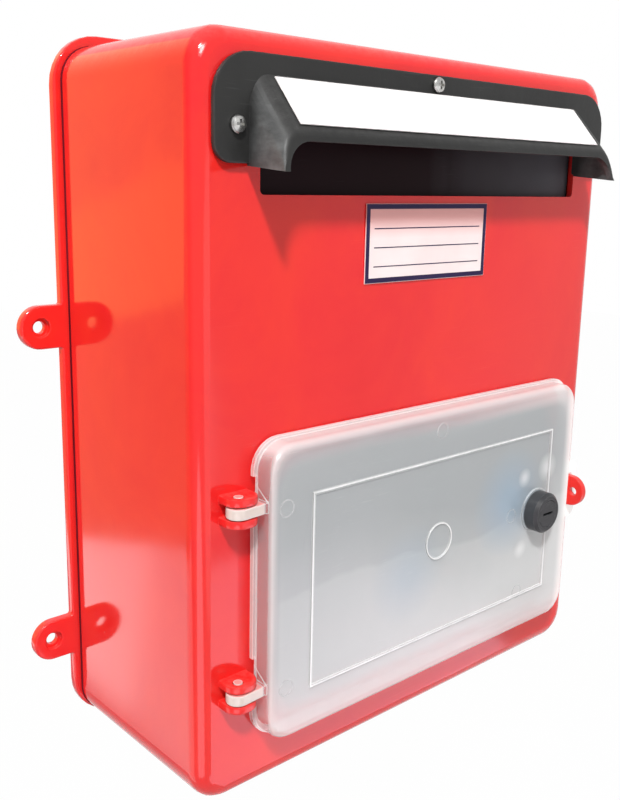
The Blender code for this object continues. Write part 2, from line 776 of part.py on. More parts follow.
def canopy_mesh(name, inset, back, bottom, corner, edge, rise=0.0):
    """The canopy's closed form: a roof that falls to the front, a leaning lip and upright ends.

    The foot of the ends climbs by the rise on its way to the back.
    """
    lean = CANOPY_LEAN / (CANOPY_ROOT - CANOPY_FALL - HOOD_BOTTOM + CANOPY_FOOT_DROP)
    roof_drop = inset * math.hypot(1, CANOPY_RATE)
    lip_shift = inset * math.hypot(1, lean)
    lip_top = CANOPY_ROOT - CANOPY_FALL
    reach = CANOPY_PROUD - HOOD_THICKNESS - lip_shift + lean * lip_top
    edge_z = (CANOPY_ROOT - roof_drop - reach * CANOPY_RATE) / (1 - lean * CANOPY_RATE)
    edge_y = HOOD_FRONT - reach + lean * edge_z
    back_z = CANOPY_ROOT - roof_drop + (back - HOOD_FRONT) * CANOPY_RATE
    foot_y = edge_y - lean * (edge_z - bottom)
    half = CANOPY_HALF_WIDTH - inset
    form = bmesh.new()
    bmesh.ops.create_cube(form, size=1.0)
    for vert in form.verts:
        in_front = vert.co.y < 0
        on_top = vert.co.z > 0
        vert.co.x = half if vert.co.x > 0 else -half
        vert.co.y = (edge_y if on_top else foot_y) if in_front else back
        vert.co.z = (edge_z if in_front else back_z) if on_top else (bottom if in_front else bottom + rise)
    above = bottom + rise + WELD
    slopes = [
        e for e in form.edges
        if min(v.co.z for v in e.verts) > above and abs(e.verts[0].co.x - e.verts[1].co.x) < WELD
    ]
    round_edges(form, slopes, corner, CORNER_STEPS)
    if edge > 0:
        front_face = min(form.faces, key=lambda f: f.calc_center_median().y)
        rim = [e for e in front_face.edges if max(v.co.z for v in e.verts) > above]
        round_edges(form, rim, edge, FINE_STEPS)
    return mesh_from(name, form)


def make_hood():
    """The hood: a flange on the casing's face and a canopy that keeps rain off the slot."""
    outline = rounded(
        -HOOD_HALF_WIDTH, HOOD_HALF_WIDTH + HOOD_RIGHT_REACH, HOOD_BOTTOM, HOOD_TOP,
        HOOD_FOOT_RADIUS, HOOD_TOP_RADIUS,
    )
    outlines = [outline]
    radius = HOOD_SCREW_RADIUS + SEAM_GAP
    outlines += [circle(centre, radius, SMALL_STEPS) for centre in HOOD_SCREWS.values()]
    mesh = flat_mesh("hood", outlines, HOOD_THICKNESS, facing_front(HOOD_BACK), HOOD_EDGE_ROUND)
    hood = add_object("hood", mesh, parts)
    foot = HOOD_BOTTOM - CANOPY_FOOT_DROP
    canopy_back = HOOD_BACK - HOOD_THICKNESS / 2
    join(hood, canopy_mesh(
        "canopy", 0, canopy_back, foot, CANOPY_CORNER_RADIUS, CANOPY_EDGE_RADIUS, CANOPY_FOOT_RISE,
    ))
    cut(hood, canopy_mesh(
        "canopy_hollow", CANOPY_WALL, HOOD_BACK + OVERRUN, foot - OVERRUN,
        CANOPY_CORNER_RADIUS - CANOPY_WALL, 0,
    ))
    lip_bottom = CANOPY_ROOT - CANOPY_FALL - LIP_HEIGHT
    mouth_half = CANOPY_HALF_WIDTH - CANOPY_WALL
    mouth_foot = foot - LIP_CORNER_RADIUS
    mouth = rounded(
        -mouth_half, mouth_half, mouth_foot, lip_bottom, CANOPY_EDGE_RADIUS, LIP_CORNER_RADIUS,
    )
    mouth_back = facing_front(HOOD_FRONT - CANOPY_WALL)
    cut(hood, flat_mesh("mouth", [mouth], CANOPY_PROUD + CANOPY_LEAN, mouth_back))
    return finish(hood, black_plastic)


def make_hood_label():
    """A blank printed strip on the canopy's roof."""
    tilt = math.atan(CANOPY_RATE)
    middle_y = HOOD_FRONT - LABEL_DROP / CANOPY_RATE
    middle_z = CANOPY_ROOT - LABEL_DROP
    place = (
        Matrix.Translation((0, middle_y, middle_z))
        @ Matrix.Rotation(tilt, 4, "X")
        @ Matrix.Translation((0, 0, SEAM_GAP))
    )
    outline = rectangle(-LABEL_WIDTH / 2, LABEL_WIDTH / 2, -LABEL_HEIGHT / 2, LABEL_HEIGHT / 2)
    mesh = flat_mesh("hood_label", [outline], STICKER_THICKNESS, place)
    return finish(add_object("hood_label", mesh, parts), white_paper)


def pan_profile(head_radius, head_height, shank_radius, length):
    """A domed head over a plain shank, from the crown down."""
    crown = head_height * CROWN_SHARE
    rim = head_height - crown
    profile = []
    for i in range(FINE_STEPS + 1):
        angle = math.pi / 2 * i / FINE_STEPS
        profile.append((head_radius * math.sin(angle), rim + crown * math.cos(angle)))
    profile += [
        (head_radius, 0),
        (shank_radius, 0),
        (shank_radius, -length + SCREW_TIP),
        (shank_radius - SCREW_TIP / 2, -length),
        (0, -length),
    ]
    return profile


def make_hood_fixings():
    """Each hood screw with the washer and nut behind the casing's wall."""
    seat = HOOD_FRONT - SEAM_GAP
    washer_back = INNER_FACE + SEAM_GAP + WASHER_THICKNESS
    nut_back = washer_back + SEAM_GAP + NUT_THICKNESS
    length = nut_back - seat + SCREW_END
    bore = HOOD_SCREW_RADIUS + SEAM_GAP
    pieces = []
    for name, (x, z) in HOOD_SCREWS.items():
        place = facing_front(seat) @ Matrix.Translation((x, z, 0))
        profile = pan_profile(HOOD_SCREW_HEAD_RADIUS, HOOD_SCREW_HEAD_HEIGHT, HOOD_SCREW_RADIUS, length)
        screw = turned_piece(f"hood_screw_{name}", profile, place)
        top = place @ Matrix.Translation((0, 0, HOOD_SCREW_HEAD_HEIGHT))
        cross_recess(screw, f"hood_screw_{name}", top)
        pieces.append(finish(screw, steel))
        hole = circle((x, z), bore, SMALL_STEPS)
        ring = circle((x, z), WASHER_RADIUS, SMALL_STEPS)
        washer = flat_mesh(f"hood_washer_{name}", [ring, hole], WASHER_THICKNESS, facing_front(washer_back))
        pieces.append(finish(add_object(washer.name, washer, parts), steel))
        body = hexagon((x, z), NUT_FLATS)
        nut = flat_mesh(f"hood_nut_{name}", [body, hole], NUT_THICKNESS, facing_front(nut_back))
        pieces.append(finish(add_object(nut.name, nut, parts), steel))
    return pieces


# Slot flap and name card


def make_slot_flap():
    """A flap that hangs behind the slot from two stub pins."""
    foot = SLOT_BOTTOM - FLAP_OVERLAP
    half = FLAP_THICKNESS / 2
    reach = math.degrees(math.asin(half / FLAP_BARREL_RADIUS))
    centre = (FLAP_PIVOT_Y, FLAP_PIVOT_Z)
    outline = arc(centre, FLAP_BARREL_RADIUS, -90 + reach, 270 - reach, 2 * CORNER_STEPS)
    outline += [(FLAP_PIVOT_Y - half, foot), (FLAP_PIVOT_Y + half, foot)]
    mesh = flat_mesh("slot_flap", [outline], 2 * FLAP_HALF_WIDTH, facing_right(-FLAP_HALF_WIDTH))
    flap = add_object("slot_flap", mesh, parts)
    pin_length = FLAP_LUG_WIDTH + ROOT
    for side in (-1, 1):
        start = FLAP_HALF_WIDTH - ROOT if side > 0 else -FLAP_HALF_WIDTH + ROOT - pin_length
        place = facing_right(start) @ Matrix.Translation((FLAP_PIVOT_Y, FLAP_PIVOT_Z, 0))
        join(flap, rod_mesh(f"flap_pin_{side}", FLAP_PIN_RADIUS, place, pin_length))
    carry(add_pivot("flap_axis", (0, FLAP_PIVOT_Y, FLAP_PIVOT_Z)), [flap])
    return finish(flap, black_plastic)


def make_name_card():
    """The printed card on the front face, under the slot."""
    left = -CARD_SHIFT - CARD_WIDTH / 2
    outline = rectangle(left, left + CARD_WIDTH, CARD_TOP - CARD_HEIGHT, CARD_TOP)
    place = facing_front(FRONT - SEAM_GAP)
    mesh = flat_mesh("name_card", [outline], STICKER_THICKNESS, place)
    return finish(add_object("name_card", mesh, parts), white_paper)


# Door


def flange_outline():
    """The door's flange: notched beside each hinge, with the hasp tab on the right."""
    notch = HINGE_X + LIP_SWING + HINGE_NOTCH_CLEARANCE
    tab_end = STAPLE_X + STAPLE_THICKNESS / 2 + HASP_CLEARANCE + HASP_MARGIN
    tab_low = DOOR_MIDDLE - HASP_HALF_HEIGHT
    tab_high = DOOR_MIDDLE + HASP_HALF_HEIGHT
    tab = HASP_CORNER_RADIUS
    r = min(DOOR_CORNER_RADIUS, HINGE_INSET - HINGE_HALF_STACK - NOTCH_ABOVE)
    points = arc((DOOR_LEFT + r, DOOR_BOTTOM + r), r, 180, 270, CORNER_STEPS)
    points += arc((DOOR_RIGHT - r, DOOR_BOTTOM + r), r, 270, 360, CORNER_STEPS)
    points += [(DOOR_RIGHT, tab_low)]
    points += arc((tab_end - tab, tab_low + tab), tab, 270, 360, EDGE_STEPS)
    points += arc((tab_end - tab, tab_high - tab), tab, 0, 90, EDGE_STEPS)
    points += [(DOOR_RIGHT, tab_high)]
    points += arc((DOOR_RIGHT - r, DOOR_TOP - r), r, 0, 90, CORNER_STEPS)
    points += arc((DOOR_LEFT + r, DOOR_TOP - r), r, 90, 180, CORNER_STEPS)
    for name in ("upper", "lower"):
        high = HINGE_HEIGHTS[name] + HINGE_HALF_STACK + NOTCH_ABOVE
        low = HINGE_HEIGHTS[name] - HINGE_HALF_STACK - NOTCH_BELOW
        points += [(DOOR_LEFT, high), (notch, high), (notch, low), (DOOR_LEFT, low)]
    return points


def make_door_panel():
    """The translucent door: a shallow dish on a thin flange, with its lugs, tab and posts."""
    slot_half = STAPLE_THICKNESS / 2 + HASP_CLEARANCE
    slot_reach = STAPLE_RADIUS + HASP_CLEARANCE
    hasp_slot = rectangle(
        STAPLE_X - slot_half, STAPLE_X + slot_half, DOOR_MIDDLE - slot_reach, DOOR_MIDDLE + slot_reach,
    )
    mesh = flat_mesh("door_panel", [flange_outline(), hasp_slot], DOOR_WALL, facing_front(FLANGE_BACK))
    door = add_object("door_panel", mesh, parts)
    dish_back = FLANGE_BACK - DOOR_WALL / 2
    join(door, rounded_block(
        "dish", DISH_LEFT, DISH_RIGHT, DISH_BOTTOM, DISH_TOP, DISH_FRONT, dish_back,
        DISH_CORNER_RADIUS, DISH_EDGE_RADIUS, DISH_DRAFT,
    ))
    for name, height in HINGE_HEIGHTS.items():
        join(door, hinge_lug_mesh(f"{name}_lug", height))
        join(door, gusset_mesh(f"{name}_gusset", height))
        pin_length = 2 * HINGE_HALF_STACK
        place = Matrix.Translation((HINGE_X, HINGE_Y, height - HINGE_HALF_STACK))
        join(door, rod_mesh(f"{name}_pins", HINGE_PIN_RADIUS, place, pin_length))
    inset = DOOR_WALL
    cut(door, rounded_block(
        "dish_hollow", DISH_LEFT + inset, DISH_RIGHT - inset, DISH_BOTTOM + inset, DISH_TOP - inset,
        DISH_FRONT + DOOR_WALL, FLANGE_BACK + OVERRUN,
        DISH_CORNER_RADIUS - inset, DISH_EDGE_RADIUS - inset, DISH_DRAFT,
    ))
    add_door_details(door)
    return finish(door, clear_plastic)


def hinge_lug_mesh(name, height):
    """A lug that runs from the dish's side wall out round the hinge axis."""
    wall = DISH_LEFT + DOOR_WALL / 2
    outline = arc((HINGE_X, HINGE_Y), HINGE_LUG_RADIUS, 90, 270, 2 * CORNER_STEPS)
    half = HINGE_LUG_RADIUS - ROOT
    outline += [(wall, HINGE_Y - half), (wall, HINGE_Y + half)]
    place = facing_up(height - HINGE_LUG_THICKNESS / 2)
    return flat_mesh(name, [outline], HINGE_LUG_THICKNESS, place, LUG_EDGE_ROUND)


def gusset_mesh(name, height):
    """A small web on the dish's side wall, high at the flange and low at the lug's front."""
    front = HINGE_Y - HINGE_LUG_RADIUS + ROOT
    back = FLANGE_BACK - DOOR_WALL / 2
    top = height + HINGE_LUG_THICKNESS / 2
    outline = [(front, height), (back, height), (back, top + GUSSET_RISE), (front, top)]
    thickness = GUSSET_PROUD + DOOR_WALL / 2
    return flat_mesh(name, [outline], thickness, facing_right(DISH_LEFT - GUSSET_PROUD))


def add_door_details(door):
    """Raised lines, the collar, the lock's hole and the two posts."""
    skin = facing_front(DISH_FRONT + ROOT)
    line = FRAME_LINE_WIDTH
    left = DISH_LEFT + FRAME_LINE_LEFT
    right = DISH_RIGHT - FRAME_LINE_RIGHT
    bottom = DISH_BOTTOM + FRAME_LINE_BOTTOM
    top = DISH_TOP - FRAME_LINE_TOP
    outer = rectangle(left, right, bottom, top)
    inner = rectangle(left + line, right - line, bottom + line, top - line)
    join(door, flat_mesh("frame_line", [outer, inner], ROOT + FRAME_LINE_HEIGHT, skin))
    centre = ((left + right) / 2 - EMBLEM_SHIFT, DOOR_MIDDLE + EMBLEM_RISE)
    ring = circle(centre, EMBLEM_RADIUS, ROUND_STEPS)
    ring_hole = circle(centre, EMBLEM_RADIUS - EMBLEM_LINE_WIDTH, ROUND_STEPS)
    join(door, flat_mesh("emblem_ring", [ring, ring_hole], ROOT + FRAME_LINE_HEIGHT, skin))
    lock_place = Matrix.Translation((LOCK_X, DOOR_MIDDLE, 0))
    collar_radius = LOCK_KNOB_RADIUS + COLLAR_WIDTH
    join(door, rod_mesh("collar", collar_radius, skin @ lock_place, ROOT + COLLAR_HEIGHT, ROUND_STEPS))
    for sign in (-1, 1):
        z = DOOR_MIDDLE + sign * POST_SPACING / 2
        post_back = DISH_FRONT + DOOR_WALL + POST_HEIGHT
        place = facing_front(post_back) @ Matrix.Translation((DOOR_RIGHT - POST_INSET, z, 0))
        join(door, rod_mesh(f"post_{sign}", POST_RADIUS, place, POST_HEIGHT + ROOT))
    hole_place = facing_front(DISH_FRONT + DOOR_WALL + OVERRUN) @ lock_place
    hole_length = DOOR_WALL + COLLAR_HEIGHT + 2 * OVERRUN
    cut(door, rod_mesh("lock_hole", LOCK_BARREL_RADIUS + SEAM_GAP, hole_place, hole_length, ROUND_STEPS))


# Lock


def make_lock_body():
    """The lock's knob and barrel, and the washer and nut that clamp them to the door."""
    place = facing_front(0) @ Matrix.Translation((LOCK_X, DOOR_MIDDLE, 0))
    seat = -DISH_FRONT + COLLAR_HEIGHT + SEAM_GAP
    face = -LOCK_FRONT
    tail = -BARREL_END
    step = face - LOCK_FACE_DEPTH - SEAM_GAP
    face_bore = LOCK_FACE_RADIUS + SEAM_GAP
    profile = [(face_bore, step), (face_bore, face)]
    profile += [(LOCK_KNOB_RADIUS - LOCK_KNOB_ROUND, face), (LOCK_KNOB_RADIUS, face - LOCK_KNOB_ROUND)]
    profile += [(LOCK_KNOB_RADIUS, seat), (LOCK_BARREL_RADIUS, seat), (LOCK_BARREL_RADIUS, tail)]
    profile += [(LOCK_BORE_RADIUS, tail), (LOCK_BORE_RADIUS, step)]
    housing = turned_piece("lock_housing", profile, place, ROUND_STEPS, closed=True)
    centre = (LOCK_X, DOOR_MIDDLE)
    hole = circle(centre, LOCK_BARREL_RADIUS + SEAM_GAP, ROUND_STEPS)
    ring = circle(centre, LOCK_BARREL_RADIUS + LOCK_WASHER_MARGIN, ROUND_STEPS)
    washer_back = DISH_FRONT + DOOR_WALL + SEAM_GAP + LOCK_WASHER_THICKNESS
    washer = flat_mesh("lock_washer", [ring, hole], LOCK_WASHER_THICKNESS, facing_front(washer_back))
    nut_back = washer_back + SEAM_GAP + LOCK_NUT_THICKNESS
    body = hexagon(centre, LOCK_NUT_FLATS)
    nut = flat_mesh("lock_nut", [body, hole], LOCK_NUT_THICKNESS, facing_front(nut_back))
    return [
        finish(housing, lock_black),
        finish(add_object("lock_washer", washer, parts), steel),
        finish(add_object("lock_nut", nut, parts), steel),
    ]


def make_lock_core():
    """What the key turns: the plug, the cam on its square tenon and the screw that holds it."""
    place = facing_front(0) @ Matrix.Translation((LOCK_X, DOOR_MIDDLE, 0))
    face = -LOCK_FRONT
    body_radius = LOCK_BORE_RADIUS - RUNNING_GAP
    tail = -BARREL_END
    profile = [(0, face), (LOCK_FACE_RADIUS, face), (LOCK_FACE_RADIUS, face - LOCK_FACE_DEPTH)]
    profile += [(body_radius, face - LOCK_FACE_DEPTH), (body_radius, tail), (0, tail)]
    plug = turned_piece("lock_plug", profile, place, ROUND_STEPS)
    half = TENON_SIDE / 2
    join(plug, block_mesh(
        "tenon", (LOCK_X - half, BARREL_END - ROOT, DOOR_MIDDLE - half),
        (LOCK_X + half, TENON_END, DOOR_MIDDLE + half),
    ))
    cut(plug, block_mesh(
        "key_slot", (LOCK_X - KEY_SLOT_LENGTH / 2, LOCK_FRONT - OVERRUN, DOOR_MIDDLE - KEY_SLOT_WIDTH / 2),
        (LOCK_X + KEY_SLOT_LENGTH / 2, LOCK_FRONT + KEY_SLOT_DEPTH, DOOR_MIDDLE + KEY_SLOT_WIDTH / 2),
    ))
    head_seat = CAM_BACK + SEAM_GAP
    tail_place = Matrix.Translation((LOCK_X, head_seat, DOOR_MIDDLE)) @ Matrix.Rotation(-math.pi / 2, 4, "X")
    into = facing_front(TENON_END + OVERRUN) @ Matrix.Translation((LOCK_X, DOOR_MIDDLE, 0))
    cut(plug, rod_mesh("cam_screw_hole", CAM_SCREW_RADIUS + SEAM_GAP, into, CAM_SCREW_LENGTH + OVERRUN))
    profile = pan_profile(
        CAM_SCREW_HEAD_RADIUS, CAM_SCREW_HEAD_HEIGHT, CAM_SCREW_RADIUS, CAM_SCREW_LENGTH,
    )
    screw = turned_piece("cam_screw", profile, tail_place)
    cross_recess(screw, "cam_screw", tail_place @ Matrix.Translation((0, 0, CAM_SCREW_HEAD_HEIGHT)))
    cam = add_object("lock_cam", cam_mesh(), parts)
    return [finish(plug, lock_black), finish(cam, steel), finish(screw, steel)]


def cam_mesh():
    """The cam, upright: turned a quarter to the right, its tip goes behind the window's edge."""
    tip = DOOR_MIDDLE + CAM_LENGTH - CAM_TIP_RADIUS
    outline = arc((LOCK_X, DOOR_MIDDLE), CAM_HUB_RADIUS, 180, 360, 2 * CORNER_STEPS)
    outline += arc((LOCK_X, tip), CAM_TIP_RADIUS, 0, 180, 2 * CORNER_STEPS)
    half = TENON_SIDE / 2 + SEAM_GAP
    hole = rectangle(LOCK_X - half, LOCK_X + half, DOOR_MIDDLE - half, DOOR_MIDDLE + half)
    return flat_mesh("lock_cam", [outline, hole], CAM_THICKNESS, facing_front(CAM_BACK))


for old in list(bpy.data.objects):
    bpy.data.objects.remove(old)

parts = bpy.data.collections.new("suggestion_box")
cutters = bpy.data.collections.new("cutters")
bpy.context.scene.collection.children.link(parts)
bpy.context.scene.collection.children.link(cutters)

red_plastic = make_material("red_plastic", (0.84, 0.024, 0.018), 0.22)
black_plastic = make_material("black_plastic", (0.022, 0.021, 0.021), 0.5)
clear_plastic = make_material("clear_plastic", (0.72, 0.71, 0.70), 0.35)
lock_black = make_material("lock_black", (0.035, 0.035, 0.038), 0.4)
white_paper = make_material("white_paper", (0.85, 0.83, 0.82), 0.6)
steel = make_material("steel", (0.62, 0.61, 0.58), 0.3, 1.0)

make_front_shell()
make_back_plate()
make_plate_screws()
make_hood()
make_hood_label()
make_hood_fixings()
make_slot_flap()
make_name_card()
door_panel = make_door_panel()
lock_body = make_lock_body()
lock_core = make_lock_core()
door_axis = add_pivot("door_axis", (HINGE_X, HINGE_Y, DOOR_MIDDLE))
lock_axis = add_pivot("lock_axis", (LOCK_X, CAM_FRONT, DOOR_MIDDLE))
carry(lock_axis, lock_core)
carry(door_axis, [door_panel, *lock_body, lock_axis])
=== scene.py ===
import json
import math

import bmesh
import bpy
from mathutils import Euler, Matrix, Vector


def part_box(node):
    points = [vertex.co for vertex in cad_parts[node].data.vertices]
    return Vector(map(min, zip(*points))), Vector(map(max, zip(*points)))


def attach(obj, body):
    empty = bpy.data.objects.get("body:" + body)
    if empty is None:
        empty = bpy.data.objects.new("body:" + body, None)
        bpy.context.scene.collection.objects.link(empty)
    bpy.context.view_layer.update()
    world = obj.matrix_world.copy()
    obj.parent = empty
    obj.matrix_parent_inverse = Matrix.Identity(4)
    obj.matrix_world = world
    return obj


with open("model.json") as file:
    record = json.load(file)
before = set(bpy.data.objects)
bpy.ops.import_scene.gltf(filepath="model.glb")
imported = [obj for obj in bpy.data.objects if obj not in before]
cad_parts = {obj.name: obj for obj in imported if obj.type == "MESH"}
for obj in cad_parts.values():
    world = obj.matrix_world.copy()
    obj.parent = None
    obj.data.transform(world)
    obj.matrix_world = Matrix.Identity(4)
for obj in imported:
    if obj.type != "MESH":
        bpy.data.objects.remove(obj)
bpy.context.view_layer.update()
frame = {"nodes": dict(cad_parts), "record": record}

cadNodes = frame["nodes"]
scene = bpy.context.scene
print("frame loaded:", len(cadNodes), "nodes")


# Node helpers

def newGroup(name, inputs, outputs):
    tree = bpy.data.node_groups.new(name, "ShaderNodeTree")
    for socketName, kind, value in inputs:
        socket = tree.interface.new_socket(socketName, in_out="INPUT", socket_type=kind)
        if value is not None:
            socket.default_value = value
    for socketName, kind in outputs:
        tree.interface.new_socket(socketName, in_out="OUTPUT", socket_type=kind)
    given = tree.nodes.new("NodeGroupInput").outputs
    wanted = tree.nodes.new("NodeGroupOutput").inputs
    return tree, given, wanted


def feed(socket, value):
    if isinstance(value, bpy.types.NodeSocket):
        socket.id_data.links.new(value, socket)
    elif value is not None:
        socket.default_value = value


def calc(tree, operation, *values, clamp=False):
    node = tree.nodes.new("ShaderNodeMath")
    node.operation = operation
    node.use_clamp = clamp
    for socket, value in zip(node.inputs, values):
        feed(socket, value)
    return node.outputs[0]


def times(tree, first, *others):
    for other in others:
        first = calc(tree, "MULTIPLY", first, other)
    return first


def vectorCalc(tree, operation, first, second=None):
    node = tree.nodes.new("ShaderNodeVectorMath")
    node.operation = operation
    feed(node.inputs[0], first)
    feed(node.inputs[1], second)
    return node.outputs


def axesOf(tree, vector):
    node = tree.nodes.new("ShaderNodeSeparateXYZ")
    feed(node.inputs[0], vector)
    return node.outputs


def surfaceOf(tree, name):  # the surface's Normal or Position
    return tree.nodes.new("ShaderNodeNewGeometry").outputs[name]


def noise(tree, vector, scale, detail=3.0, roughness=0.5, distortion=0.0):
    node = tree.nodes.new("ShaderNodeTexNoise")
    feed(node.inputs["Vector"], vector)
    feed(node.inputs["Scale"], scale)
    node.inputs["Detail"].default_value = detail
    node.inputs["Roughness"].default_value = roughness
    node.inputs["Distortion"].default_value = distortion
    return node.outputs["Fac"]


def fit(tree, value, low, high, toLow=0.0, toHigh=1.0):
    node = tree.nodes.new("ShaderNodeMapRange")
    given = {"Value": value, "From Min": low, "From Max": high, "To Min": toLow, "To Max": toHigh}
    for name, amount in given.items():
        feed(node.inputs[name], amount)
    return node.outputs[0]


def blendColour(tree, share, first, second):
    node = tree.nodes.new("ShaderNodeMix")
    node.data_type = "RGBA"
    for index, amount in ((0, share), (6, first), (7, second)):
        feed(node.inputs[index], amount)
    return node.outputs[2]


def stretch(tree, vector, scale, turn=(0.0, 0.0, 0.0)):
    node = tree.nodes.new("ShaderNodeMapping")
    feed(node.inputs["Vector"], vector)
    node.inputs["Scale"].default_value = scale
    node.inputs["Rotation"].default_value = turn
    return node.outputs[0]


# Effects that several materials share

flowForm = {
    "stretch": (1.0, 1.0, 0.45), "detail": 4.0, "roughness": 0.55, "twist": 0.6, "range": (0.3, 0.7),
    "fineDetail": 2.0, "fineRoughness": 0.6, "fineShare": 0.3,
    "broadScale": 0.16, "broadDetail": 1.0, "broadShare": 0.7,
}


def makeMouldSkin():  # colour drift of moulded plastic, and the height of its fine skin
    tree, given, wanted = newGroup("mouldSkin", [
        ("Vector", "NodeSocketVector", None), ("Skin Scale", "NodeSocketFloat", 400.0),
        ("Flow Scale", "NodeSocketFloat", 9.0)],
        [("Flow", "NodeSocketFloat"), ("Height", "NodeSocketFloat")])
    form = flowForm
    drawn = stretch(tree, given["Vector"], form["stretch"])
    flow = noise(tree, drawn, given["Flow Scale"], form["detail"], form["roughness"], form["twist"])
    fine = noise(tree, given["Vector"], given["Skin Scale"], form["fineDetail"], form["fineRoughness"])
    broadScale = times(tree, given["Skin Scale"], form["broadScale"])
    broad = noise(tree, given["Vector"], broadScale, form["broadDetail"])
    feed(wanted["Flow"], fit(tree, flow, *form["range"]))
    fine = times(tree, fine, form["fineShare"])
    feed(wanted["Height"], calc(tree, "MULTIPLY_ADD", broad, form["broadShare"], fine))
    return tree


marksForm = {
    "hairlines": (((0.35, 0.2, 0.7), (1.0, 34.0, 30.0)), ((1.1, 0.9, 0.3), (1.3, 40.0, 36.0))),
    "hairDetail": 1.0, "hairRoughness": 0.4, "hairRange": (0.69, 0.74),
    "gapNoise": (26.0, 2.0), "gapRange": (0.5, 0.64),
    "smudgeNoise": (17.0, 5.0, 0.62, 0.8), "smudgeRange": (0.35, 0.75),
}


def makeHandlingMarks():  # hairlines in two directions, and soft smudges
    tree, given, wanted = newGroup("handlingMarks", [
        ("Vector", "NodeSocketVector", None), ("Density", "NodeSocketFloat", 0.5),
        ("Scale", "NodeSocketFloat", 60.0)],
        [("Scratches", "NodeSocketFloat"), ("Smudges", "NodeSocketFloat")])
    form = marksForm
    lines = []
    for turn, thin in form["hairlines"]:
        drawn = stretch(tree, given["Vector"], thin, turn)
        hair = noise(tree, drawn, given["Scale"], form["hairDetail"], form["hairRoughness"])
        lines.append(fit(tree, hair, *form["hairRange"]))
    gaps = fit(tree, noise(tree, given["Vector"], *form["gapNoise"]), *form["gapRange"])
    both = calc(tree, "MAXIMUM", *lines)
    marks = calc(tree, "MULTIPLY", both, times(tree, gaps, given["Density"]), clamp=True)
    feed(wanted["Scratches"], marks)
    smudges = noise(tree, given["Vector"], *form["smudgeNoise"])
    feed(wanted["Smudges"], fit(tree, smudges, *form["smudgeRange"]))
    return tree


wearForm = {
    "samples": 4, "bend": (0.995, 0.86),
    "patchDetail": 4.0, "patchRoughness": 0.6, "patches": (0.42, 0.66),
}


def makeEdgeWear():  # where an edge is, whole as a line and broken up where it is rubbed
    tree, given, wanted = newGroup("edgeWear", [
        ("Vector", "NodeSocketVector", None), ("Width", "NodeSocketFloat", 0.0008),
        ("Break Up", "NodeSocketFloat", 90.0)],
        [("Edge", "NodeSocketFloat"), ("Line", "NodeSocketFloat")])
    form = wearForm
    bevel = tree.nodes.new("ShaderNodeBevel")
    bevel.samples = form["samples"]
    feed(bevel.inputs["Radius"], given["Width"])
    product = vectorCalc(tree, "DOT_PRODUCT", bevel.outputs[0], surfaceOf(tree, "Normal"))
    bend = fit(tree, product["Value"], *form["bend"])
    patches = noise(tree, given["Vector"], given["Break Up"], form["patchDetail"], form["patchRoughness"])
    patches = fit(tree, patches, *form["patches"])
    feed(wanted["Edge"], times(tree, bend, patches))
    feed(wanted["Line"], bend)
    return tree


dustForm = {"upward": (0.25, 0.95), "speckNoise": (240.0, 6.0, 0.72), "specks": (0.36, 0.72)}


def makeDust():  # dust that settles on what faces up
    tree, given, wanted = newGroup("settledDust", [
        ("Vector", "NodeSocketVector", None), ("Amount", "NodeSocketFloat", 0.3)],
        [("Dust", "NodeSocketFloat")])
    upward = fit(tree, axesOf(tree, surfaceOf(tree, "Normal"))[2], *dustForm["upward"])
    specks = fit(tree, noise(tree, given["Vector"], *dustForm["speckNoise"]), *dustForm["specks"])
    feed(wanted["Dust"], times(tree, upward, specks, given["Amount"]))
    return tree


mouldSkin = makeMouldSkin()
handlingMarks = makeHandlingMarks()
edgeWear = makeEdgeWear()
settledDust = makeDust()
print("shared effects built")


# Materials

def startMaterial(name, roughness, metallic=0.0, specular=0.5):
    material = bpy.data.materials.new(name)
    material.use_nodes = True
    tree = material.node_tree
    shader = tree.nodes["Principled BSDF"]
    shader.inputs["Roughness"].default_value = roughness
    shader.inputs["Metallic"].default_value = metallic
    shader.inputs["Specular IOR Level"].default_value = specular
    where = tree.nodes.new("ShaderNodeTexCoord").outputs["Object"]
    return material, tree, shader, where


def useGroup(tree, group, where, values):
    node = tree.nodes.new("ShaderNodeGroup")
    node.node_tree = group
    feed(node.inputs["Vector"], where)
    for name, value in values.items():
        feed(node.inputs[name], value)
    return node.outputs


def skinOn(tree, where, look):
    values = {"Skin Scale": look["skinScale"], "Flow Scale": look["flowScale"]}
    return useGroup(tree, mouldSkin, where, values)


def marksOn(tree, where, look):
    density, scale = look["marks"]
    return useGroup(tree, handlingMarks, where, {"Density": density, "Scale": scale})


def edgesOn(tree, where, look):
    width, patches = look["edges"]
    return useGroup(tree, edgeWear, where, {"Width": width, "Break Up": patches})


def dustOn(tree, where, look):
    return useGroup(tree, settledDust, where, {"Amount": look["dustAmount"]})["Dust"]


def opaque(colour):
    return (*colour, 1.0)


def mixPaints(tree, share, first, second):
    return blendColour(tree, share, opaque(first), opaque(second))


def paintOver(tree, colour, mask, paint, share=None):
    if share is not None:
        mask = times(tree, mask, share)
    return blendColour(tree, mask, colour, opaque(paint))


def setRoughness(tree, shader, mask, low, high):
    feed(shader.inputs["Roughness"], fit(tree, mask, 0.0, 1.0, low, high))


def addBump(tree, shader, height, look):
    bump = tree.nodes.new("ShaderNodeBump")
    bump.inputs["Strength"].default_value = look["relief"]
    bump.inputs["Distance"].default_value = look["grain"]
    feed(bump.inputs["Height"], height)
    feed(shader.inputs["Normal"], bump.outputs[0])


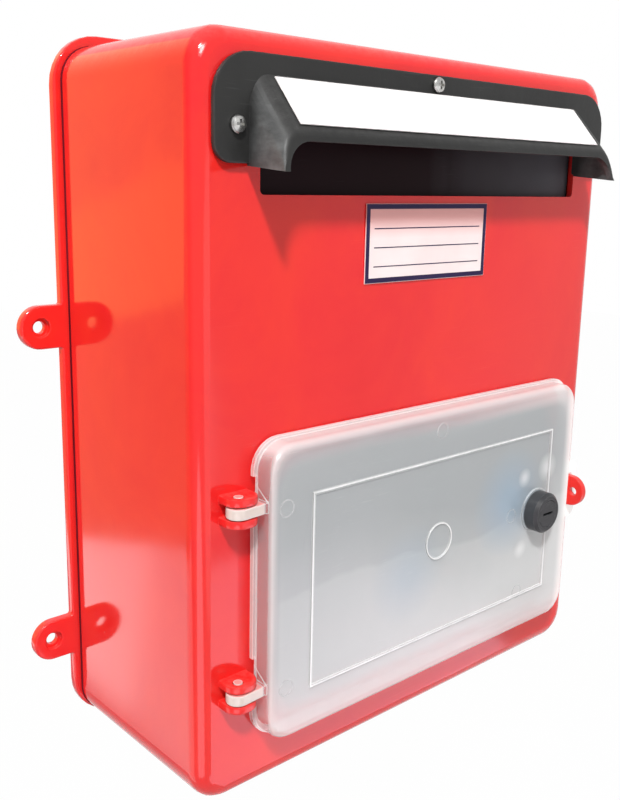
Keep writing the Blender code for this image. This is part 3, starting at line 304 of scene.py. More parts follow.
redLook = {
    "deep": (0.70, 0.0100, 0.0135), "light": (0.78, 0.0160, 0.0190), "rubbed": (0.88, 0.10, 0.085),
    "bloom": (0.83, 0.034, 0.013), "bloomShare": 0.55, "dust": (0.62, 0.40, 0.36), "dustAmount": 0.16,
    "skinScale": 520.0, "flowScale": 7.0, "marks": (0.5, 48.0), "edges": (0.0007, 70.0),
    "edgeShare": 0.3, "scratchShare": 0.16, "dustDulling": 2.0,
    "gloss": 0.085, "smudged": 0.125, "dull": 0.30, "specular": 0.38, "relief": 0.25, "grain": 0.00003,
}


def makeRedPlastic():
    look = redLook
    material, tree, shader, where = startMaterial("glossyRed", look["gloss"], 0.0, look["specular"])
    skin, marks = skinOn(tree, where, look), marksOn(tree, where, look)
    edge, dust = edgesOn(tree, where, look)["Edge"], dustOn(tree, where, look)
    colour = mixPaints(tree, skin["Flow"], look["deep"], look["light"])
    colour = paintOver(tree, colour, marks["Smudges"], look["bloom"], look["bloomShare"])
    colour = paintOver(tree, colour, edge, look["rubbed"], look["edgeShare"])
    colour = paintOver(tree, colour, marks["Scratches"], look["rubbed"], look["scratchShare"])
    feed(shader.inputs["Base Color"], paintOver(tree, colour, dust, look["dust"]))
    smudged = fit(tree, marks["Smudges"], 0.0, 1.0, look["gloss"], look["smudged"])
    worn = calc(tree, "MAXIMUM", marks["Scratches"], times(tree, dust, look["dustDulling"]))
    setRoughness(tree, shader, worn, smudged, look["dull"])
    addBump(tree, shader, skin["Height"], look)
    return material


blackLook = {
    "deep": (0.0085, 0.0085, 0.0082), "light": (0.0165, 0.0163, 0.0158), "rubbed": (0.075, 0.075, 0.075),
    "dust": (0.16, 0.155, 0.15), "dustAmount": 0.22,
    "skinScale": 1500.0, "flowScale": 14.0, "marks": (0.7, 55.0), "edges": (0.0006, 110.0),
    "edgeShare": 0.45, "scratchShare": 0.3,
    "satin": 0.40, "dull": 0.56, "specular": 0.27, "relief": 0.8, "grain": 0.00018,
}
# Painted sheen: the hood's end walls are painted lighter where light falls on them.
endWallSheen = {
    "colour": (0.25, 0.257, 0.258), "sideways": (0.45, 0.95),
    "stretch": (1.0, 0.32, 1.0), "streakNoise": (150.0, 5.0, 0.6), "streaks": (0.12, 0.82),
    "outward": (-0.1085, -0.1165, 0.15, 0.95),
    "mottleNoise": (95.0, 3.0, 0.6), "mottle": (0.35, 0.62, 0.55, 1.0),
}


def endWallSheenMask(tree, where):  # painted sheen on the hood's end walls, paler where they face sideways, most of all towards the lip, in streaks and mottles
    endSheen = endWallSheen
    normal = axesOf(tree, surfaceOf(tree, "Normal"))
    sideways = fit(tree, calc(tree, "ABSOLUTE", normal[0]), *endSheen["sideways"])
    streaks = noise(tree, stretch(tree, where, endSheen["stretch"]), *endSheen["streakNoise"])
    outward = fit(tree, axesOf(tree, where)[1], *endSheen["outward"])
    mottle = fit(tree, noise(tree, where, *endSheen["mottleNoise"]), *endSheen["mottle"])
    return times(tree, sideways, fit(tree, streaks, *endSheen["streaks"]), times(tree, outward, mottle))


def makeBlackPlastic():
    look = blackLook
    material, tree, shader, where = startMaterial("grainedBlack", look["satin"], 0.0, look["specular"])
    skin, marks = skinOn(tree, where, look), marksOn(tree, where, look)
    edge, dust = edgesOn(tree, where, look)["Edge"], dustOn(tree, where, look)
    colour = mixPaints(tree, skin["Flow"], look["deep"], look["light"])
    colour = paintOver(tree, colour, edge, look["rubbed"], look["edgeShare"])
    colour = paintOver(tree, colour, marks["Scratches"], look["rubbed"], look["scratchShare"])
    colour = paintOver(tree, colour, dust, look["dust"])
    # the painted sheen on the hood's end walls
    colour = paintOver(tree, colour, endWallSheenMask(tree, where), endWallSheen["colour"])
    feed(shader.inputs["Base Color"], colour)
    setRoughness(tree, shader, marks["Smudges"], look["satin"], look["dull"])
    addBump(tree, shader, skin["Height"], look)
    return material


doorLook = {
    "haze": (0.47, 0.49, 0.50), "reflectedHaze": (0.74, 0.745, 0.745), "coolReflection": (0.38, 0.50, 0.62),
    "milk": (0.92, 0.895, 0.90), "dimMilk": (0.62, 0.64, 0.66), "white": (0.96, 0.955, 0.95),
    "lug": (0.74, 0.63, 0.58), "pin": (0.80, 0.36, 0.34),
    # glow is a painted glow along the right side of the door
    "glow": (0.17, 0.165, 0.155), "unlit": (0.0, 0.0, 0.0),
    "deepAlpha": 0.70, "nearAlpha": 0.40, "rimAlpha": 0.46,
    "wallAlpha": 0.17, "lugAlpha": 0.86, "paleAlpha": 0.95, "rubbedShare": 0.62,
    "skinScale": 380.0, "flowScale": 6.5, "marks": (0.1, 90.0), "edges": (0.0009, 40.0),
    "gloss": 0.13, "dull": 0.28, "relief": 0.3, "grain": 0.00003,
}
# Places are in metres. Boxes are left, right, bottom, top. Ranges run from none to full,
# and where a range has four numbers, the last two are the shares at its ends.
doorZones = {
    "hazeBox": (-0.1022, 0.1055, -0.1225, -0.0075), "hazeEdge": 0.0030, "hazeDrift": 0.006,
    "dishBox": (-0.1050, 0.1114, -0.1345, -0.0011), "rim": (-0.0045, -0.0005), "cornerBlend": 0.02,
    # fadeDown, stepDown and dimLeft shape a painted reflection, lighter low in the window and less on the
    # left
    "fadeDown": (-0.030, -0.090, 0.0, 0.72), "fadeDrift": 0.030,
    "stepDown": (-0.0590, -0.0615, 0.0, 0.28), "stepDrift": 0.016, "dimLeft": (-0.100, 0.030, 0.58, 1.0),
    # brightBelow and brightRight place painted light in the milky bands
    "brightBelow": (-0.095, -0.122), "brightRight": (-0.02, 0.09),
    # litRightEdge and paintedGlowRight place painted light along the right side
    "litRightEdge": (0.1020, 0.1095, 0.0, 0.6), "paintedGlowRight": (0.1035, 0.1125),
    "lug": (-0.1063, -0.1075), "hingeSide": (-0.1044, -0.1052),
    "sideWall": (-0.55, -0.92), "pinEnd": (0.85, 0.97),  # these two go by the way the surface faces
    "spotCore": 0.2, "thickSpotShare": 0.5,
    "thickSpots": ((0.068, -0.0473, 0.0056), (0.068, -0.0873, 0.0056), (0.088, -0.045, 0.0085)),
    # coolReflections place bluish painted reflections on the haze
    "coolReflections": ((0.056, -0.058, 0.030, 0.75), (-0.020, -0.078, 0.026, 0.35)),
}


def boxDistance(tree, where, left, right, bottom, top):  # below 0 inside an upright rectangle, in metres
    place = axesOf(tree, where)
    sides = []
    for socket, low, high in ((place[0], left, right), (place[2], bottom, top)):
        offset = calc(tree, "ABSOLUTE", calc(tree, "SUBTRACT", socket, (low + high) / 2))
        sides.append(calc(tree, "SUBTRACT", offset, (high - low) / 2))
    return calc(tree, "SMOOTH_MAX", *sides, doorZones["cornerBlend"])


def spotMask(tree, where, x, z, reach, share):
    distance = vectorCalc(tree, "DISTANCE", stretch(tree, where, (1.0, 0.0, 1.0)), (x, 0.0, z))["Value"]
    return fit(tree, distance, reach, reach * doorZones["spotCore"], 0.0, share)


def hazeColour(tree, where, flow, near, rim):  # grey haze over the window, painted grey as the shade of the dark inside behind it, with milkier bands around it
    look, zone = doorLook, doorZones
    place = axesOf(tree, where)
    # painted reflection: the window's haze is painted lighter towards the bottom, with a step, and less on
    # the left
    fade = fit(tree, calc(tree, "MULTIPLY_ADD", flow, zone["fadeDrift"], place[2]), *zone["fadeDown"])
    step = fit(tree, calc(tree, "MULTIPLY_ADD", flow, zone["stepDrift"], place[2]), *zone["stepDown"])
    low = times(tree, calc(tree, "ADD", fade, step), fit(tree, place[0], *zone["dimLeft"]))
    colour = mixPaints(tree, low, look["haze"], look["reflectedHaze"])
    # painted reflection: bluish patches on the haze
    for x, z, reach, share in zone["coolReflections"]:
        colour = paintOver(tree, colour, spotMask(tree, where, x, z, reach, share), look["coolReflection"])
    # painted light: the milky bands are painted brighter below and to the right
    below, right = fit(tree, place[2], *zone["brightBelow"]), fit(tree, place[0], *zone["brightRight"])
    milk = mixPaints(tree, calc(tree, "MAXIMUM", below, right), look["dimMilk"], look["milk"])
    return paintOver(tree, blendColour(tree, near, colour, milk), rim, look["white"])


def makeDoorPlastic():  # what lies close behind shows through it, what lies deep is lost in the haze
    look, zone = doorLook, doorZones
    material, tree, shader, where = startMaterial("milkyClear", look["gloss"])
    skin, marks = skinOn(tree, where, look), marksOn(tree, where, look)
    line = edgesOn(tree, where, look)["Line"]
    across = axesOf(tree, where)[0]
    normal = axesOf(tree, surfaceOf(tree, "Normal"))
    drift = calc(tree, "MULTIPLY_ADD", skin["Flow"], zone["hazeDrift"], -zone["hazeDrift"] / 2)
    window = calc(tree, "ADD", boxDistance(tree, where, *zone["hazeBox"]), drift)
    near = fit(tree, window, -zone["hazeEdge"], zone["hazeEdge"])
    rim = fit(tree, boxDistance(tree, where, *zone["dishBox"]), *zone["rim"])
    colour = hazeColour(tree, where, skin["Flow"], near, rim)
    spots = 0.0
    for x, z, radius in zone["thickSpots"]:
        spots = calc(tree, "MAXIMUM", spotMask(tree, where, x, z, radius, zone["thickSpotShare"]), spots)
    rubbed = times(tree, calc(tree, "MAXIMUM", line, marks["Scratches"]), look["rubbedShare"])
    litRight = fit(tree, across, *zone["litRightEdge"])  # painted light: paler along the right side, by the hasp
    pale = calc(tree, "MAXIMUM", calc(tree, "MAXIMUM", spots, litRight), rubbed)
    lug = fit(tree, across, *zone["lug"])
    pinEnd = fit(tree, calc(tree, "ABSOLUTE", normal[2]), *zone["pinEnd"])
    lugColour = mixPaints(tree, pinEnd, look["lug"], look["pin"])  # the red lips tint the ends of the pins
    colour = blendColour(tree, lug, colour, lugColour)
    feed(shader.inputs["Base Color"], paintOver(tree, colour, pale, look["white"]))
    thin = fit(tree, normal[0], *zone["sideWall"])  # the side wall and flange by the hinges are thin
    thin = calc(tree, "MAXIMUM", thin, fit(tree, across, *zone["hingeSide"]))
    seen = fit(tree, near, 0.0, 1.0, look["deepAlpha"], look["nearAlpha"])
    for mask, alpha in ((rim, "rimAlpha"), (thin, "wallAlpha"), (lug, "lugAlpha"), (pale, "paleAlpha")):
        seen = fit(tree, mask, 0.0, 1.0, seen, look[alpha])
    feed(shader.inputs["Alpha"], seen)
    glow = fit(tree, across, *zone["paintedGlowRight"])  # a painted glow along the right side
    feed(shader.inputs["Emission Color"], mixPaints(tree, glow, look["unlit"], look["glow"]))
    shader.inputs["Emission Strength"].default_value = 1.0
    setRoughness(tree, shader, marks["Smudges"], look["gloss"], look["dull"])
    addBump(tree, shader, skin["Height"], look)
    return material


# The flap's dark red tone is painted red light thrown back from the casing.
flapLook = {
    "deep": (0.0120, 0.0030, 0.0042), "light": (0.0150, 0.0060, 0.0080), "worn": (0.100, 0.093, 0.104),
    # the worn colour is painted light towards the right of the flap
    "flapLitDrift": 0.03, "flapLitRight": (0.02, 0.125), "rubbed": (0.075, 0.075, 0.075), "scratchShare": 0.2,
    "skinScale": 900.0, "flowScale": 12.0, "marks": (0.8, 60.0),
    "gloss": 0.3, "dull": 0.5, "specular": 0.05, "relief": 0.3, "grain": 0.00004,
}


def makeFlapBlack():
    look = flapLook
    material, tree, shader, where = startMaterial("smoothBlack", look["gloss"], 0.0, look["specular"])
    skin, marks = skinOn(tree, where, look), marksOn(tree, where, look)
    colour = mixPaints(tree, skin["Flow"], look["deep"], look["light"])
    # painted light: the flap is painted grey towards the right, in its worn colour, where more light falls
    across = calc(tree, "MULTIPLY_ADD", skin["Flow"], look["flapLitDrift"], axesOf(tree, where)[0])
    colour = paintOver(tree, colour, fit(tree, across, *look["flapLitRight"]), look["worn"])
    colour = paintOver(tree, colour, marks["Scratches"], look["rubbed"], look["scratchShare"])
    feed(shader.inputs["Base Color"], colour)
    setRoughness(tree, shader, marks["Smudges"], look["gloss"], look["dull"])
    addBump(tree, shader, skin["Height"], look)
    return material


lockLook = {
    "deep": (0.012, 0.012, 0.014), "light": (0.026, 0.026, 0.030), "rubbed": (0.24, 0.24, 0.25),
    # side and face are painted light and shade, chosen by the way the surface turns
    "side": (0.052, 0.054, 0.058), "litSideTurn": (0.45, 0.15, 0.0, 0.8),
    "face": (0.0045, 0.0045, 0.0055), "faceTurn": (0.90, 0.99, 0.0, 0.6),
    "skinScale": 1700.0, "flowScale": 130.0, "marks": (1.0, 150.0), "edges": (0.0004, 320.0),
    "edgeShare": 0.7, "scratchShare": 0.5,
    "satin": 0.34, "dull": 0.52, "specular": 0.36, "relief": 0.6, "grain": 0.00004,
}


def makeLockFinish():
    look = lockLook
    material, tree, shader, where = startMaterial("satinLockBlack", look["satin"], 0.0, look["specular"])
    skin, marks = skinOn(tree, where, look), marksOn(tree, where, look)
    edge = edgesOn(tree, where, look)["Edge"]
    turned = calc(tree, "ABSOLUTE", axesOf(tree, surfaceOf(tree, "Normal"))[1])
    colour = mixPaints(tree, skin["Flow"], look["deep"], look["light"])
    # painted light and shade: the lock's sides are painted lighter and its front faces darker
    colour = paintOver(tree, colour, fit(tree, turned, *look["litSideTurn"]), look["side"])
    colour = paintOver(tree, colour, fit(tree, turned, *look["faceTurn"]), look["face"])
    colour = paintOver(tree, colour, edge, look["rubbed"], look["edgeShare"])
    colour = paintOver(tree, colour, marks["Scratches"], look["rubbed"], look["scratchShare"])
    feed(shader.inputs["Base Color"], colour)
    setRoughness(tree, shader, marks["Smudges"], look["satin"], look["dull"])
    addBump(tree, shader, skin["Height"], look)
    return material


steelLook = {
    "bright": (0.56, 0.55, 0.52), "dark": (0.34, 0.34, 0.34), "stain": (0.30, 0.24, 0.17),
    "stainNoise": (310.0, 5.0, 0.7), "stainRange": (0.58, 0.75), "stainShare": 0.5,
    "skinScale": 3000.0, "flowScale": 240.0, "marks": (1.0, 260.0),
    "gloss": 0.22, "dull": 0.46, "relief": 0.35, "grain": 0.00002,
}


def makeSteel():
    look = steelLook
    material, tree, shader, where = startMaterial("zincPlated", look["gloss"], 1.0)
    skin, marks = skinOn(tree, where, look), marksOn(tree, where, look)
    stains = fit(tree, noise(tree, where, *look["stainNoise"]), *look["stainRange"])
    colour = mixPaints(tree, skin["Flow"], look["dark"], look["bright"])
    feed(shader.inputs["Base Color"], paintOver(tree, colour, stains, look["stain"], look["stainShare"]))
    worn = calc(tree, "MAXIMUM", marks["Smudges"], calc(tree, "MAXIMUM", stains, marks["Scratches"]))
    setRoughness(tree, shader, worn, look["gloss"], look["dull"])
    addBump(tree, shader, skin["Height"], look)
    return material


paperLook = {
    "fibreStretch": (0.35, 1.0, 1.0), "fibreNoise": (1800.0, 3.0, 0.65),
    "fibreRange": (0.5, 0.8, 0.0, 0.16), "cloudNoise": (34.0, 3.0), "cloudRange": (0.3, 0.7),
    "dust": (0.45, 0.42, 0.40), "dustAmount": 0.10, "marks": (0.6, 70.0), "shadeBand": (0.0800, 0.0890),
    "gloss": 0.42, "dull": 0.6, "relief": 0.25, "grain": 0.00002,
}
printStock = {"pale": (0.86, 0.815, 0.81), "toned": (0.81, 0.765, 0.76), "specular": 0.3}
cardStock = {
    "pale": (0.91, 0.775, 0.765), "toned": (0.85, 0.69, 0.68), "specular": 0.3,
    "shaded": (0.84, 0.41, 0.39),
}
navyInk = {"pale": (0.016, 0.009, 0.046), "toned": (0.024, 0.014, 0.060), "specular": 0.14}


def makePaper(name, stock):
    look = paperLook
    material, tree, shader, where = startMaterial(name, look["gloss"], 0.0, stock["specular"])
    marks, dust = marksOn(tree, where, look), dustOn(tree, where, look)
    fibres = noise(tree, stretch(tree, where, look["fibreStretch"]), *look["fibreNoise"])
    clouds = fit(tree, noise(tree, where, *look["cloudNoise"]), *look["cloudRange"])
    colour = mixPaints(tree, clouds, stock["pale"], stock["toned"])
    colour = paintOver(tree, colour, fit(tree, fibres, *look["fibreRange"]), stock["toned"])
    colour = paintOver(tree, colour, dust, look["dust"])
    if "shaded" in stock:  # painted shadow of the hood on the top of the card, tinted by red light
        band = fit(tree, axesOf(tree, where)[2], *look["shadeBand"])
        colour = paintOver(tree, colour, band, stock["shaded"])
    feed(shader.inputs["Base Color"], colour)
    setRoughness(tree, shader, marks["Smudges"], look["gloss"], look["dull"])
    addBump(tree, shader, fibres, look)
    return material


finishes = {
    "red_plastic": makeRedPlastic(), "black_plastic": makeBlackPlastic(),
    "clear_plastic": makeDoorPlastic(), "lock_black": makeLockFinish(),
    "steel": makeSteel(), "white_paper": makePaper("printStock", printStock),
}
ownFinishes = {"slot_flap": makeFlapBlack(), "name_card": makePaper("cardStock", cardStock)}
cardInk = makePaper("navyInk", navyInk)
print("materials built:", len(finishes) + len(ownFinishes) + 1)


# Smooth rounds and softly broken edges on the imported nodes

softEdges = {
    "merge": 0.000012, "smoothBelow": 30.0, "bevelAbove": 40.0,  # metres, then degrees
    "segments": 2, "weight": 90,
    "width": {"front_shell": 0.00035, "back_plate": 0.0003, "hood": 0.0003,
              "door_panel": 0.0003, "slot_flap": 0.0002},
}


def makeSoftNormals():
    tree = bpy.data.node_groups.new("softNormals", "GeometryNodeTree")
    tree.interface.new_socket("Geometry", in_out="INPUT", socket_type="NodeSocketGeometry")
    tree.interface.new_socket("Geometry", in_out="OUTPUT", socket_type="NodeSocketGeometry")
    start = tree.nodes.new("NodeGroupInput")
    end = tree.nodes.new("NodeGroupOutput")
    merge = tree.nodes.new("GeometryNodeMergeByDistance")
    merge.inputs["Distance"].default_value = softEdges["merge"]
    clean = tree.nodes.new("GeometryNodeRemoveAttribute")
    clean.inputs["Name"].default_value = "custom_normal"
    smooth = tree.nodes.new("GeometryNodeSetShadeSmooth")
    smooth.domain = "FACE"
    smooth.inputs["Shade Smooth"].default_value = True
    crease = tree.nodes.new("GeometryNodeSetShadeSmooth")
    crease.domain = "EDGE"
    crease.inputs["Shade Smooth"].default_value = False
    angle = tree.nodes.new("GeometryNodeInputMeshEdgeAngle")
    over = tree.nodes.new("FunctionNodeCompare")
    over.operation = "GREATER_THAN"
    over.inputs["B"].default_value = math.radians(softEdges["smoothBelow"])
    chain = [start, merge, clean, smooth, crease, end]
    for before, after in zip(chain, chain[1:]):
        tree.links.new(before.outputs["Geometry"], after.inputs["Geometry"])
    tree.links.new(angle.outputs["Unsigned Angle"], over.inputs["A"])
    tree.links.new(over.outputs["Result"], crease.inputs["Selection"])
    return tree


def dressNode(name, material, softNormals):
    piece = cadNodes[name]
    for slot in piece.material_slots:
        slot.material = material
    modifier = piece.modifiers.new("softNormals", "NODES")
    modifier.node_group = softNormals
    if name in softEdges["width"]:
        bevel = piece.modifiers.new("brokenEdges", "BEVEL")
        bevel.width = softEdges["width"][name]
        bevel.segments = softEdges["segments"]
        bevel.limit_method = "ANGLE"
        bevel.angle_limit = math.radians(softEdges["bevelAbove"])
        bevel.use_clamp_overlap = True
        bevel.miter_outer = "MITER_ARC"
        bevel.harden_normals = False
    weighted = piece.modifiers.new("flatFaces", "WEIGHTED_NORMAL")
    weighted.keep_sharp = True
    weighted.weight = softEdges["weight"]


def dressNodes():
    softNormals = makeSoftNormals()
    slotOf = {part["node"]: part["material_slot"] for part in frame["record"]["subparts"]}
    for name in cadNodes:
        dressNode(name, ownFinishes.get(name) or finishes[slotOf[name]], softNormals)


dressNodes()
print("packed nodes dressed")


# New pieces

def facingFront(y):  # local X runs right, local Y up, local Z out of the front
    return Matrix.Translation((0.0, y, 0.0)) @ Matrix.Rotation(math.pi / 2, 4, "X")


def bandMesh(form, outer, inner, thickness, matrix):
    loops = []
    for height in (0.0, thickness):
        for outline in (outer, inner):
            loops.append([form.verts.new(matrix @ Vector((x, y, height))) for x, y in outline])
    count = len(outer)
    lowOut, lowIn, topOut, topIn = loops
    for i in range(count):
        j = (i + 1) % count
        form.faces.new((lowOut[i], lowOut[j], topOut[j], topOut[i]))
        form.faces.new((lowIn[j], lowIn[i], topIn[i], topIn[j]))
        form.faces.new((topOut[i], topOut[j], topIn[j], topIn[i]))
        form.faces.new((lowOut[j], lowOut[i], lowIn[i], lowIn[j]))


def plateMesh(form, outline, thickness, matrix):
    low = [form.verts.new(matrix @ Vector((x, y, 0.0))) for x, y in outline]
    top = [form.verts.new(matrix @ Vector((x, y, thickness))) for x, y in outline]
    count = len(outline)
    form.faces.new(top)
    form.faces.new(low[::-1])
    for i in range(count):
        j = (i + 1) % count
        form.faces.new((low[i], low[j], top[j], top[i]))


def box2d(left, right, bottom, top, inset=0.0):
    left, right, bottom, top = left + inset, right - inset, bottom + inset, top - inset
    return [(left, bottom), (right, bottom), (right, top), (left, top)]


def ring2d(centre, radius, steps=40):
    angles = [2 * math.pi * i / steps for i in range(steps)]
    return [(centre[0] + radius * math.cos(a), centre[1] + radius * math.sin(a)) for a in angles]


def roundedBox2d(halfWidth, halfHeight, radius, steps=8):
    points = []
    for index, (sx, sz) in enumerate(((1, 1), (-1, 1), (-1, -1), (1, -1))):
        for i in range(steps + 1):
            angle = math.radians(90 * index + 90 * i / steps)
            points.append((sx * (halfWidth - radius) + radius * math.cos(angle),
                           sz * (halfHeight - radius) + radius * math.sin(angle)))
    return points


def addPiece(name, form, material, body):
    bmesh.ops.recalc_face_normals(form, faces=form.faces)
    mesh = bpy.data.meshes.new(name)
    form.to_mesh(mesh)
    form.free()
    mesh.materials.append(material)
    piece = bpy.data.objects.new(name, mesh)
    scene.collection.objects.link(piece)
    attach(piece, body)


cardPrint = {
    "inset": 0.0002, "border": 0.0023, "lift": 0.00002, "ink": 0.00008,
    "rules": (0.0105, 0.0188, 0.0271), "ruleEnds": 0.0052, "ruleWidth": 0.00045,
}


def makeCardPrint():  # a navy border and three plain writing lines
    low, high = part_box("name_card")
    matrix = facingFront(low.y - cardPrint["lift"])
    card = (low.x, high.x, low.z, high.z)
    left, right = low.x + cardPrint["ruleEnds"], high.x - cardPrint["ruleEnds"]
    form = bmesh.new()
    inner = box2d(*card, cardPrint["border"])
    bandMesh(form, box2d(*card, cardPrint["inset"]), inner, cardPrint["ink"], matrix)
    for drop in cardPrint["rules"]:
        top = high.z - drop
        plateMesh(form, box2d(left, right, top - cardPrint["ruleWidth"], top), cardPrint["ink"], matrix)
    addPiece("card_print", form, cardInk, "box")


beadLook = {
    "deep": (0.66, 0.665, 0.66), "pale": (0.92, 0.895, 0.90), "skinScale": 700.0, "flowScale": 80.0,
    "gloss": 0.3, "dull": 0.28, "relief": 0.3, "grain": 0.00003,
}


def makeBeadPlastic(name, alpha):
    material, tree, shader, where = startMaterial(name, beadLook["gloss"])
    shader.inputs["Alpha"].default_value = alpha
    skin = skinOn(tree, where, beadLook)
    feed(shader.inputs["Base Color"], mixPaints(tree, skin["Flow"], beadLook["deep"], beadLook["pale"]))
    setRoughness(tree, shader, skin["Flow"], beadLook["gloss"], beadLook["dull"])
    addBump(tree, shader, skin["Height"], beadLook)
    return material


doorBead = {
    "skinY": -0.1175, "lift": 0.00004, "height": 0.00016, "frame": (-0.0823, 0.0899, -0.1140, -0.0239),
    "line": 0.0007, "centre": (0.0003, -0.0658), "ring": 0.0093, "ringLine": 0.0006, "alpha": 1.0,
}


def makeDoorBeads():  # pale tops of the raised frame line and ring
    ring, centre = doorBead["ring"], doorBead["centre"]
    matrix = facingFront(doorBead["skinY"] - doorBead["lift"])
    form = bmesh.new()
    inner = box2d(*doorBead["frame"], doorBead["line"])
    bandMesh(form, box2d(*doorBead["frame"]), inner, doorBead["height"], matrix)
    inner = ring2d(centre, ring - doorBead["ringLine"])
    bandMesh(form, ring2d(centre, ring), inner, doorBead["height"], matrix)
    pale = makeBeadPlastic("paleBead", doorBead["alpha"])
    addPiece("door_beads", form, pale, "door")


doorMarks = {
    "places": ((-0.0964, -0.028), (-0.0956, -0.1095), (-0.0002, -0.0105),
               (0.0582, -0.0664), (0.0673, -0.1115)),
    "radius": 0.0040, "line": 0.0007, "skinY": -0.1170, "rise": 0.00008, "sink": 0.0002, "alpha": 0.30,
}


def makeDoorMarks():  # the faint rings that ejector pins leave on the moulding
    matrix = facingFront(doorMarks["skinY"] + doorMarks["sink"])
    height = doorMarks["rise"] + doorMarks["sink"]
    form = bmesh.new()
    for centre in doorMarks["places"]:
        inner = ring2d(centre, doorMarks["radius"] - doorMarks["line"])
        bandMesh(form, ring2d(centre, doorMarks["radius"]), inner, height, matrix)
    faint = makeBeadPlastic("faintBead", doorMarks["alpha"])
    addPiece("door_pin_marks", form, faint, "door")


# Painted shade: a dark band put in the gap between casing and back plate.
seamShade = {
    "deep": (0.085, 0.003, 0.008), "light": (0.15, 0.006, 0.014), "skinScale": 900.0, "flowScale": 40.0,
    "gloss": 0.5, "dull": 0.8, "specular": 0.12, "relief": 0.5, "grain": 0.00005,
    "halfWidth": 0.1351, "halfHeight": 0.1614, "corner": 0.0162,
    "band": 0.0015, "backY": -0.0051, "width": 0.0014,
}


def makeSeamShade():  # a dark band of painted shade in the joint between casing and back plate
    look, band = seamShade, seamShade["band"]
    material, tree, shader, where = startMaterial("seamShade", look["gloss"], 0.0, look["specular"])
    skin = skinOn(tree, where, look)
    feed(shader.inputs["Base Color"], mixPaints(tree, skin["Flow"], look["deep"], look["light"]))
    setRoughness(tree, shader, skin["Flow"], look["gloss"], look["dull"])
    addBump(tree, shader, skin["Height"], look)
    form = bmesh.new()
    outer = roundedBox2d(look["halfWidth"], look["halfHeight"], look["corner"])
    inner = roundedBox2d(look["halfWidth"] - band, look["halfHeight"] - band, look["corner"] - band)
    bandMesh(form, outer, inner, look["width"], facingFront(look["backY"]))
    addPiece("seam_shade", form, material, "box")


makeCardPrint()
makeDoorMarks()
makeDoorBeads()
makeSeamShade()
print("new pieces built")


# Floor, world, lamps and camera

dimZone = {"way": (-0.81, 0.59, 0.0), "start": 0.45, "full": 0.88, "share": 0.55}


def dimmedGloss(tree, path, vector):  # 1, but less in reflections of the wall past the left side
    unit = vectorCalc(tree, "NORMALIZE", vector)[0]
    along = vectorCalc(tree, "DOT_PRODUCT", unit, dimZone["way"])["Value"]
    zone = fit(tree, along, dimZone["start"], dimZone["full"], 0.0, dimZone["share"])
    return calc(tree, "SUBTRACT", 1.0, times(tree, zone, path["Is Glossy Ray"]))


def seenDirectly(tree, path):  # what the eye, gloss and clear plastic see as plain white
    seen = calc(tree, "MAXIMUM", path["Is Camera Ray"], path["Is Glossy Ray"])
    return calc(tree, "MAXIMUM", seen, path["Is Transmission Ray"])


def mixInto(tree, outputType, share, first, second):
    mix = tree.nodes.new("ShaderNodeMixShader")
    for socket, value in zip(mix.inputs, (share, first, second)):
        feed(socket, value)
    feed(tree.nodes.new(outputType).inputs[0], mix.outputs[0])


floorLook = {"size": 14.0, "height": -0.95, "tone": (0.82, 0.82, 0.82), "whiteShare": 0.985}


def makeFloor():
    bpy.ops.mesh.primitive_plane_add(size=floorLook["size"], location=(0.0, 0.0, floorLook["height"]))
    floor = bpy.context.object
    floor.name = "floor"
    material = bpy.data.materials.new("paleFloor")
    material.use_nodes = True
    tree = material.node_tree
    tree.nodes.clear()
    path = tree.nodes.new("ShaderNodeLightPath").outputs
    diffuse = tree.nodes.new("ShaderNodeBsdfDiffuse")
    diffuse.inputs[0].default_value = opaque(floorLook["tone"])
    glow = tree.nodes.new("ShaderNodeEmission")
    feed(glow.inputs["Strength"], dimmedGloss(tree, path, surfaceOf(tree, "Position")))
    share = times(tree, seenDirectly(tree, path), floorLook["whiteShare"])
    mixInto(tree, "ShaderNodeOutputMaterial", share, diffuse.outputs[0], glow.outputs[0])
    floor.data.materials.append(material)


worldLook = {"tone": (1.0, 1.0, 1.0), "level": 0.52}


def makeWorld():
    world = bpy.data.worlds.new("studio")
    scene.world = world
    world.use_nodes = True
    tree = world.node_tree
    tree.nodes.clear()
    path = tree.nodes.new("ShaderNodeLightPath").outputs
    toward = tree.nodes.new("ShaderNodeTexCoord").outputs["Generated"]
    shaders = []
    for strength in (worldLook["level"], dimmedGloss(tree, path, toward)):
        background = tree.nodes.new("ShaderNodeBackground")
        background.inputs["Color"].default_value = opaque(worldLook["tone"])
        feed(background.inputs["Strength"], strength)
        shaders.append(background.outputs[0])
    mixInto(tree, "ShaderNodeOutputWorld", seenDirectly(tree, path), *shaders)


lamps = {
    "key": {"way": (-0.445, -0.552, 0.765), "distance": 1.8, "width": 0.16, "power": 30.5},
    "side": {"way": (-1.0, 0.35, 0.1), "distance": 1.5, "width": 1.0, "power": 4.4, "glossy": False},
    "fill": {"way": (0.2, -1.0, -0.25), "distance": 2.0, "width": 1.4, "power": 4.5},
    "glint": {"way": (-0.30, -0.70, 0.59), "distance": 1.8, "width": 0.50, "power": 13.0, "diffuse": False},
    "glintHalo": {"way": (-0.30, -0.70, 0.59), "distance": 1.9, "width": 0.9, "power": 6.5, "diffuse": False},
    "sheenLeft": {"way": (-0.50, 0.85, 0.38), "distance": 1.6, "width": 1.7, "power": 11.0,
                  "colour": (1.0, 0.42, 0.05), "diffuse": False},
    "sheenLowFront": {"way": (0.42, -0.60, -0.68), "distance": 1.3, "width": 0.9, "power": 4.3,
                      "colour": (1.0, 0.84, 1.0), "diffuse": False},
    "sheenLowCorner": {"way": (-0.62, -0.66, -0.56), "distance": 1.5, "width": 0.9, "power": 5.5,
                       "colour": (1.0, 0.85, 0.95), "diffuse": False},
}
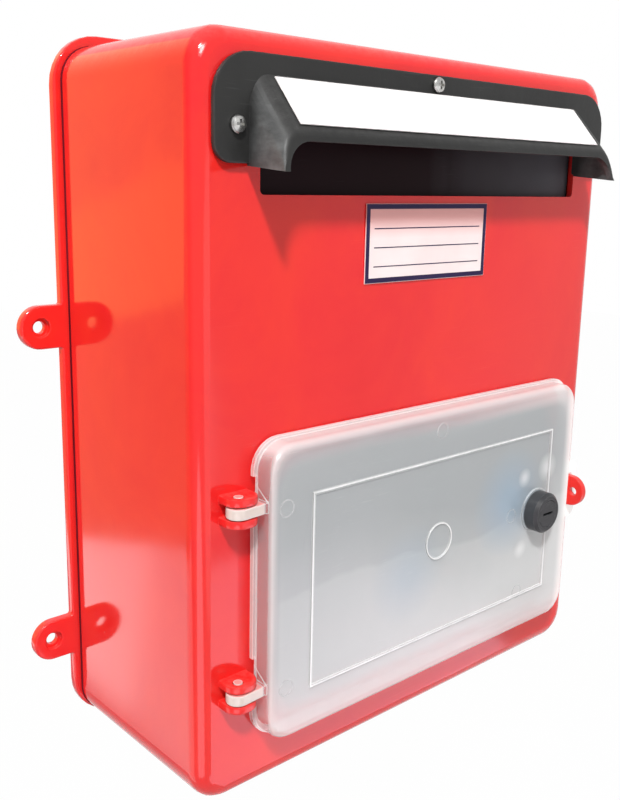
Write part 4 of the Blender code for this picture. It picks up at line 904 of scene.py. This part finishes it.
panels = {  # cards of light seen only as reflections; a drop below 0 stands on its line
    "sheenLowLeft": {"start": (-0.92, 2.2, -0.90), "end": (-0.92, 0.0, -0.343), "drop": 1.1, "power": 12.6,
                     "colour": (1.0, 0.95, 0.94)},
    "sheenMidLeft": {"start": (-0.92, 2.2, -0.90), "end": (-0.92, 0.0, -0.343), "drop": -0.9, "power": 8.0,
                     "colour": (1.0, 0.25, 0.0)},
    "sheenLowBack": {"start": (-0.93, 2.4, -0.951), "end": (-0.93, 1.15, -0.634), "drop": 1.1, "power": 4.6,
                     "colour": (1.0, 0.95, 0.94)},
}


def startLight(name, shape, values):
    data = bpy.data.lights.new(name, "AREA")
    data.shape = shape
    data.energy = values["power"]
    data.color = values.get("colour", (1.0, 1.0, 1.0))
    light = bpy.data.objects.new(name, data)
    scene.collection.objects.link(light)
    light.visible_camera = False
    return light


def turnTo(axes):  # a turn whose local X, Y and Z lie along the three axes
    return Matrix([list(axis) for axis in axes]).transposed().to_4x4()


def makeLamp(name, lamp):
    light = startLight(name, "DISK", lamp)
    light.data.size = lamp["width"]
    way = Vector(lamp["way"]).normalized()
    light.location = way * lamp["distance"]
    light.rotation_mode = "QUATERNION"
    light.rotation_quaternion = way.to_track_quat("Z", "Y")
    light.visible_diffuse = lamp.get("diffuse", True)
    light.visible_glossy = lamp.get("glossy", True)


def makePanel(name, panel):  # it faces the box and hangs from the line between its start and end
    light = startLight(name, "RECTANGLE", panel)
    start, end, drop = Vector(panel["start"]), Vector(panel["end"]), panel["drop"]
    light.data.size, light.data.size_y = (end - start).length, abs(drop)
    middle = (start + end) / 2
    along = (end - start).normalized()
    back = (middle - along * middle.dot(along)).normalized()
    down = along.cross(back)
    if down.z > 0:
        down.negate()
    turn = turnTo((down.cross(back), down, back))
    light.matrix_world = Matrix.Translation(middle + down * drop / 2) @ turn
    light.visible_diffuse = False


photoView = {
    "place": (-0.3293, -0.3917, 0.1017), "turn": (78.060, -0.818, -40.098),  # metres, then degrees
    "lens": 41.445, "sensor": 36.0, "shift": (0.0266, -0.0234), "clip": (0.01, 50.0),
}


def makeCamera():
    data = bpy.data.cameras.new("photoCamera")
    data.lens = photoView["lens"]
    data.sensor_width = photoView["sensor"]
    data.shift_x, data.shift_y = photoView["shift"]
    data.clip_start, data.clip_end = photoView["clip"]
    camera = bpy.data.objects.new("photoCamera", data)
    scene.collection.objects.link(camera)
    turn = Euler([math.radians(angle) for angle in photoView["turn"]])
    camera.matrix_world = Matrix.Translation(photoView["place"]) @ turn.to_matrix().to_4x4()
    scene.camera = camera


makeFloor()
makeWorld()
for lampName, lampValues in lamps.items():
    makeLamp(lampName, lampValues)
for panelName, panelValues in panels.items():
    makePanel(panelName, panelValues)
makeCamera()
scene.view_settings.view_transform = "Standard"
print("stage, lamps and camera ready")
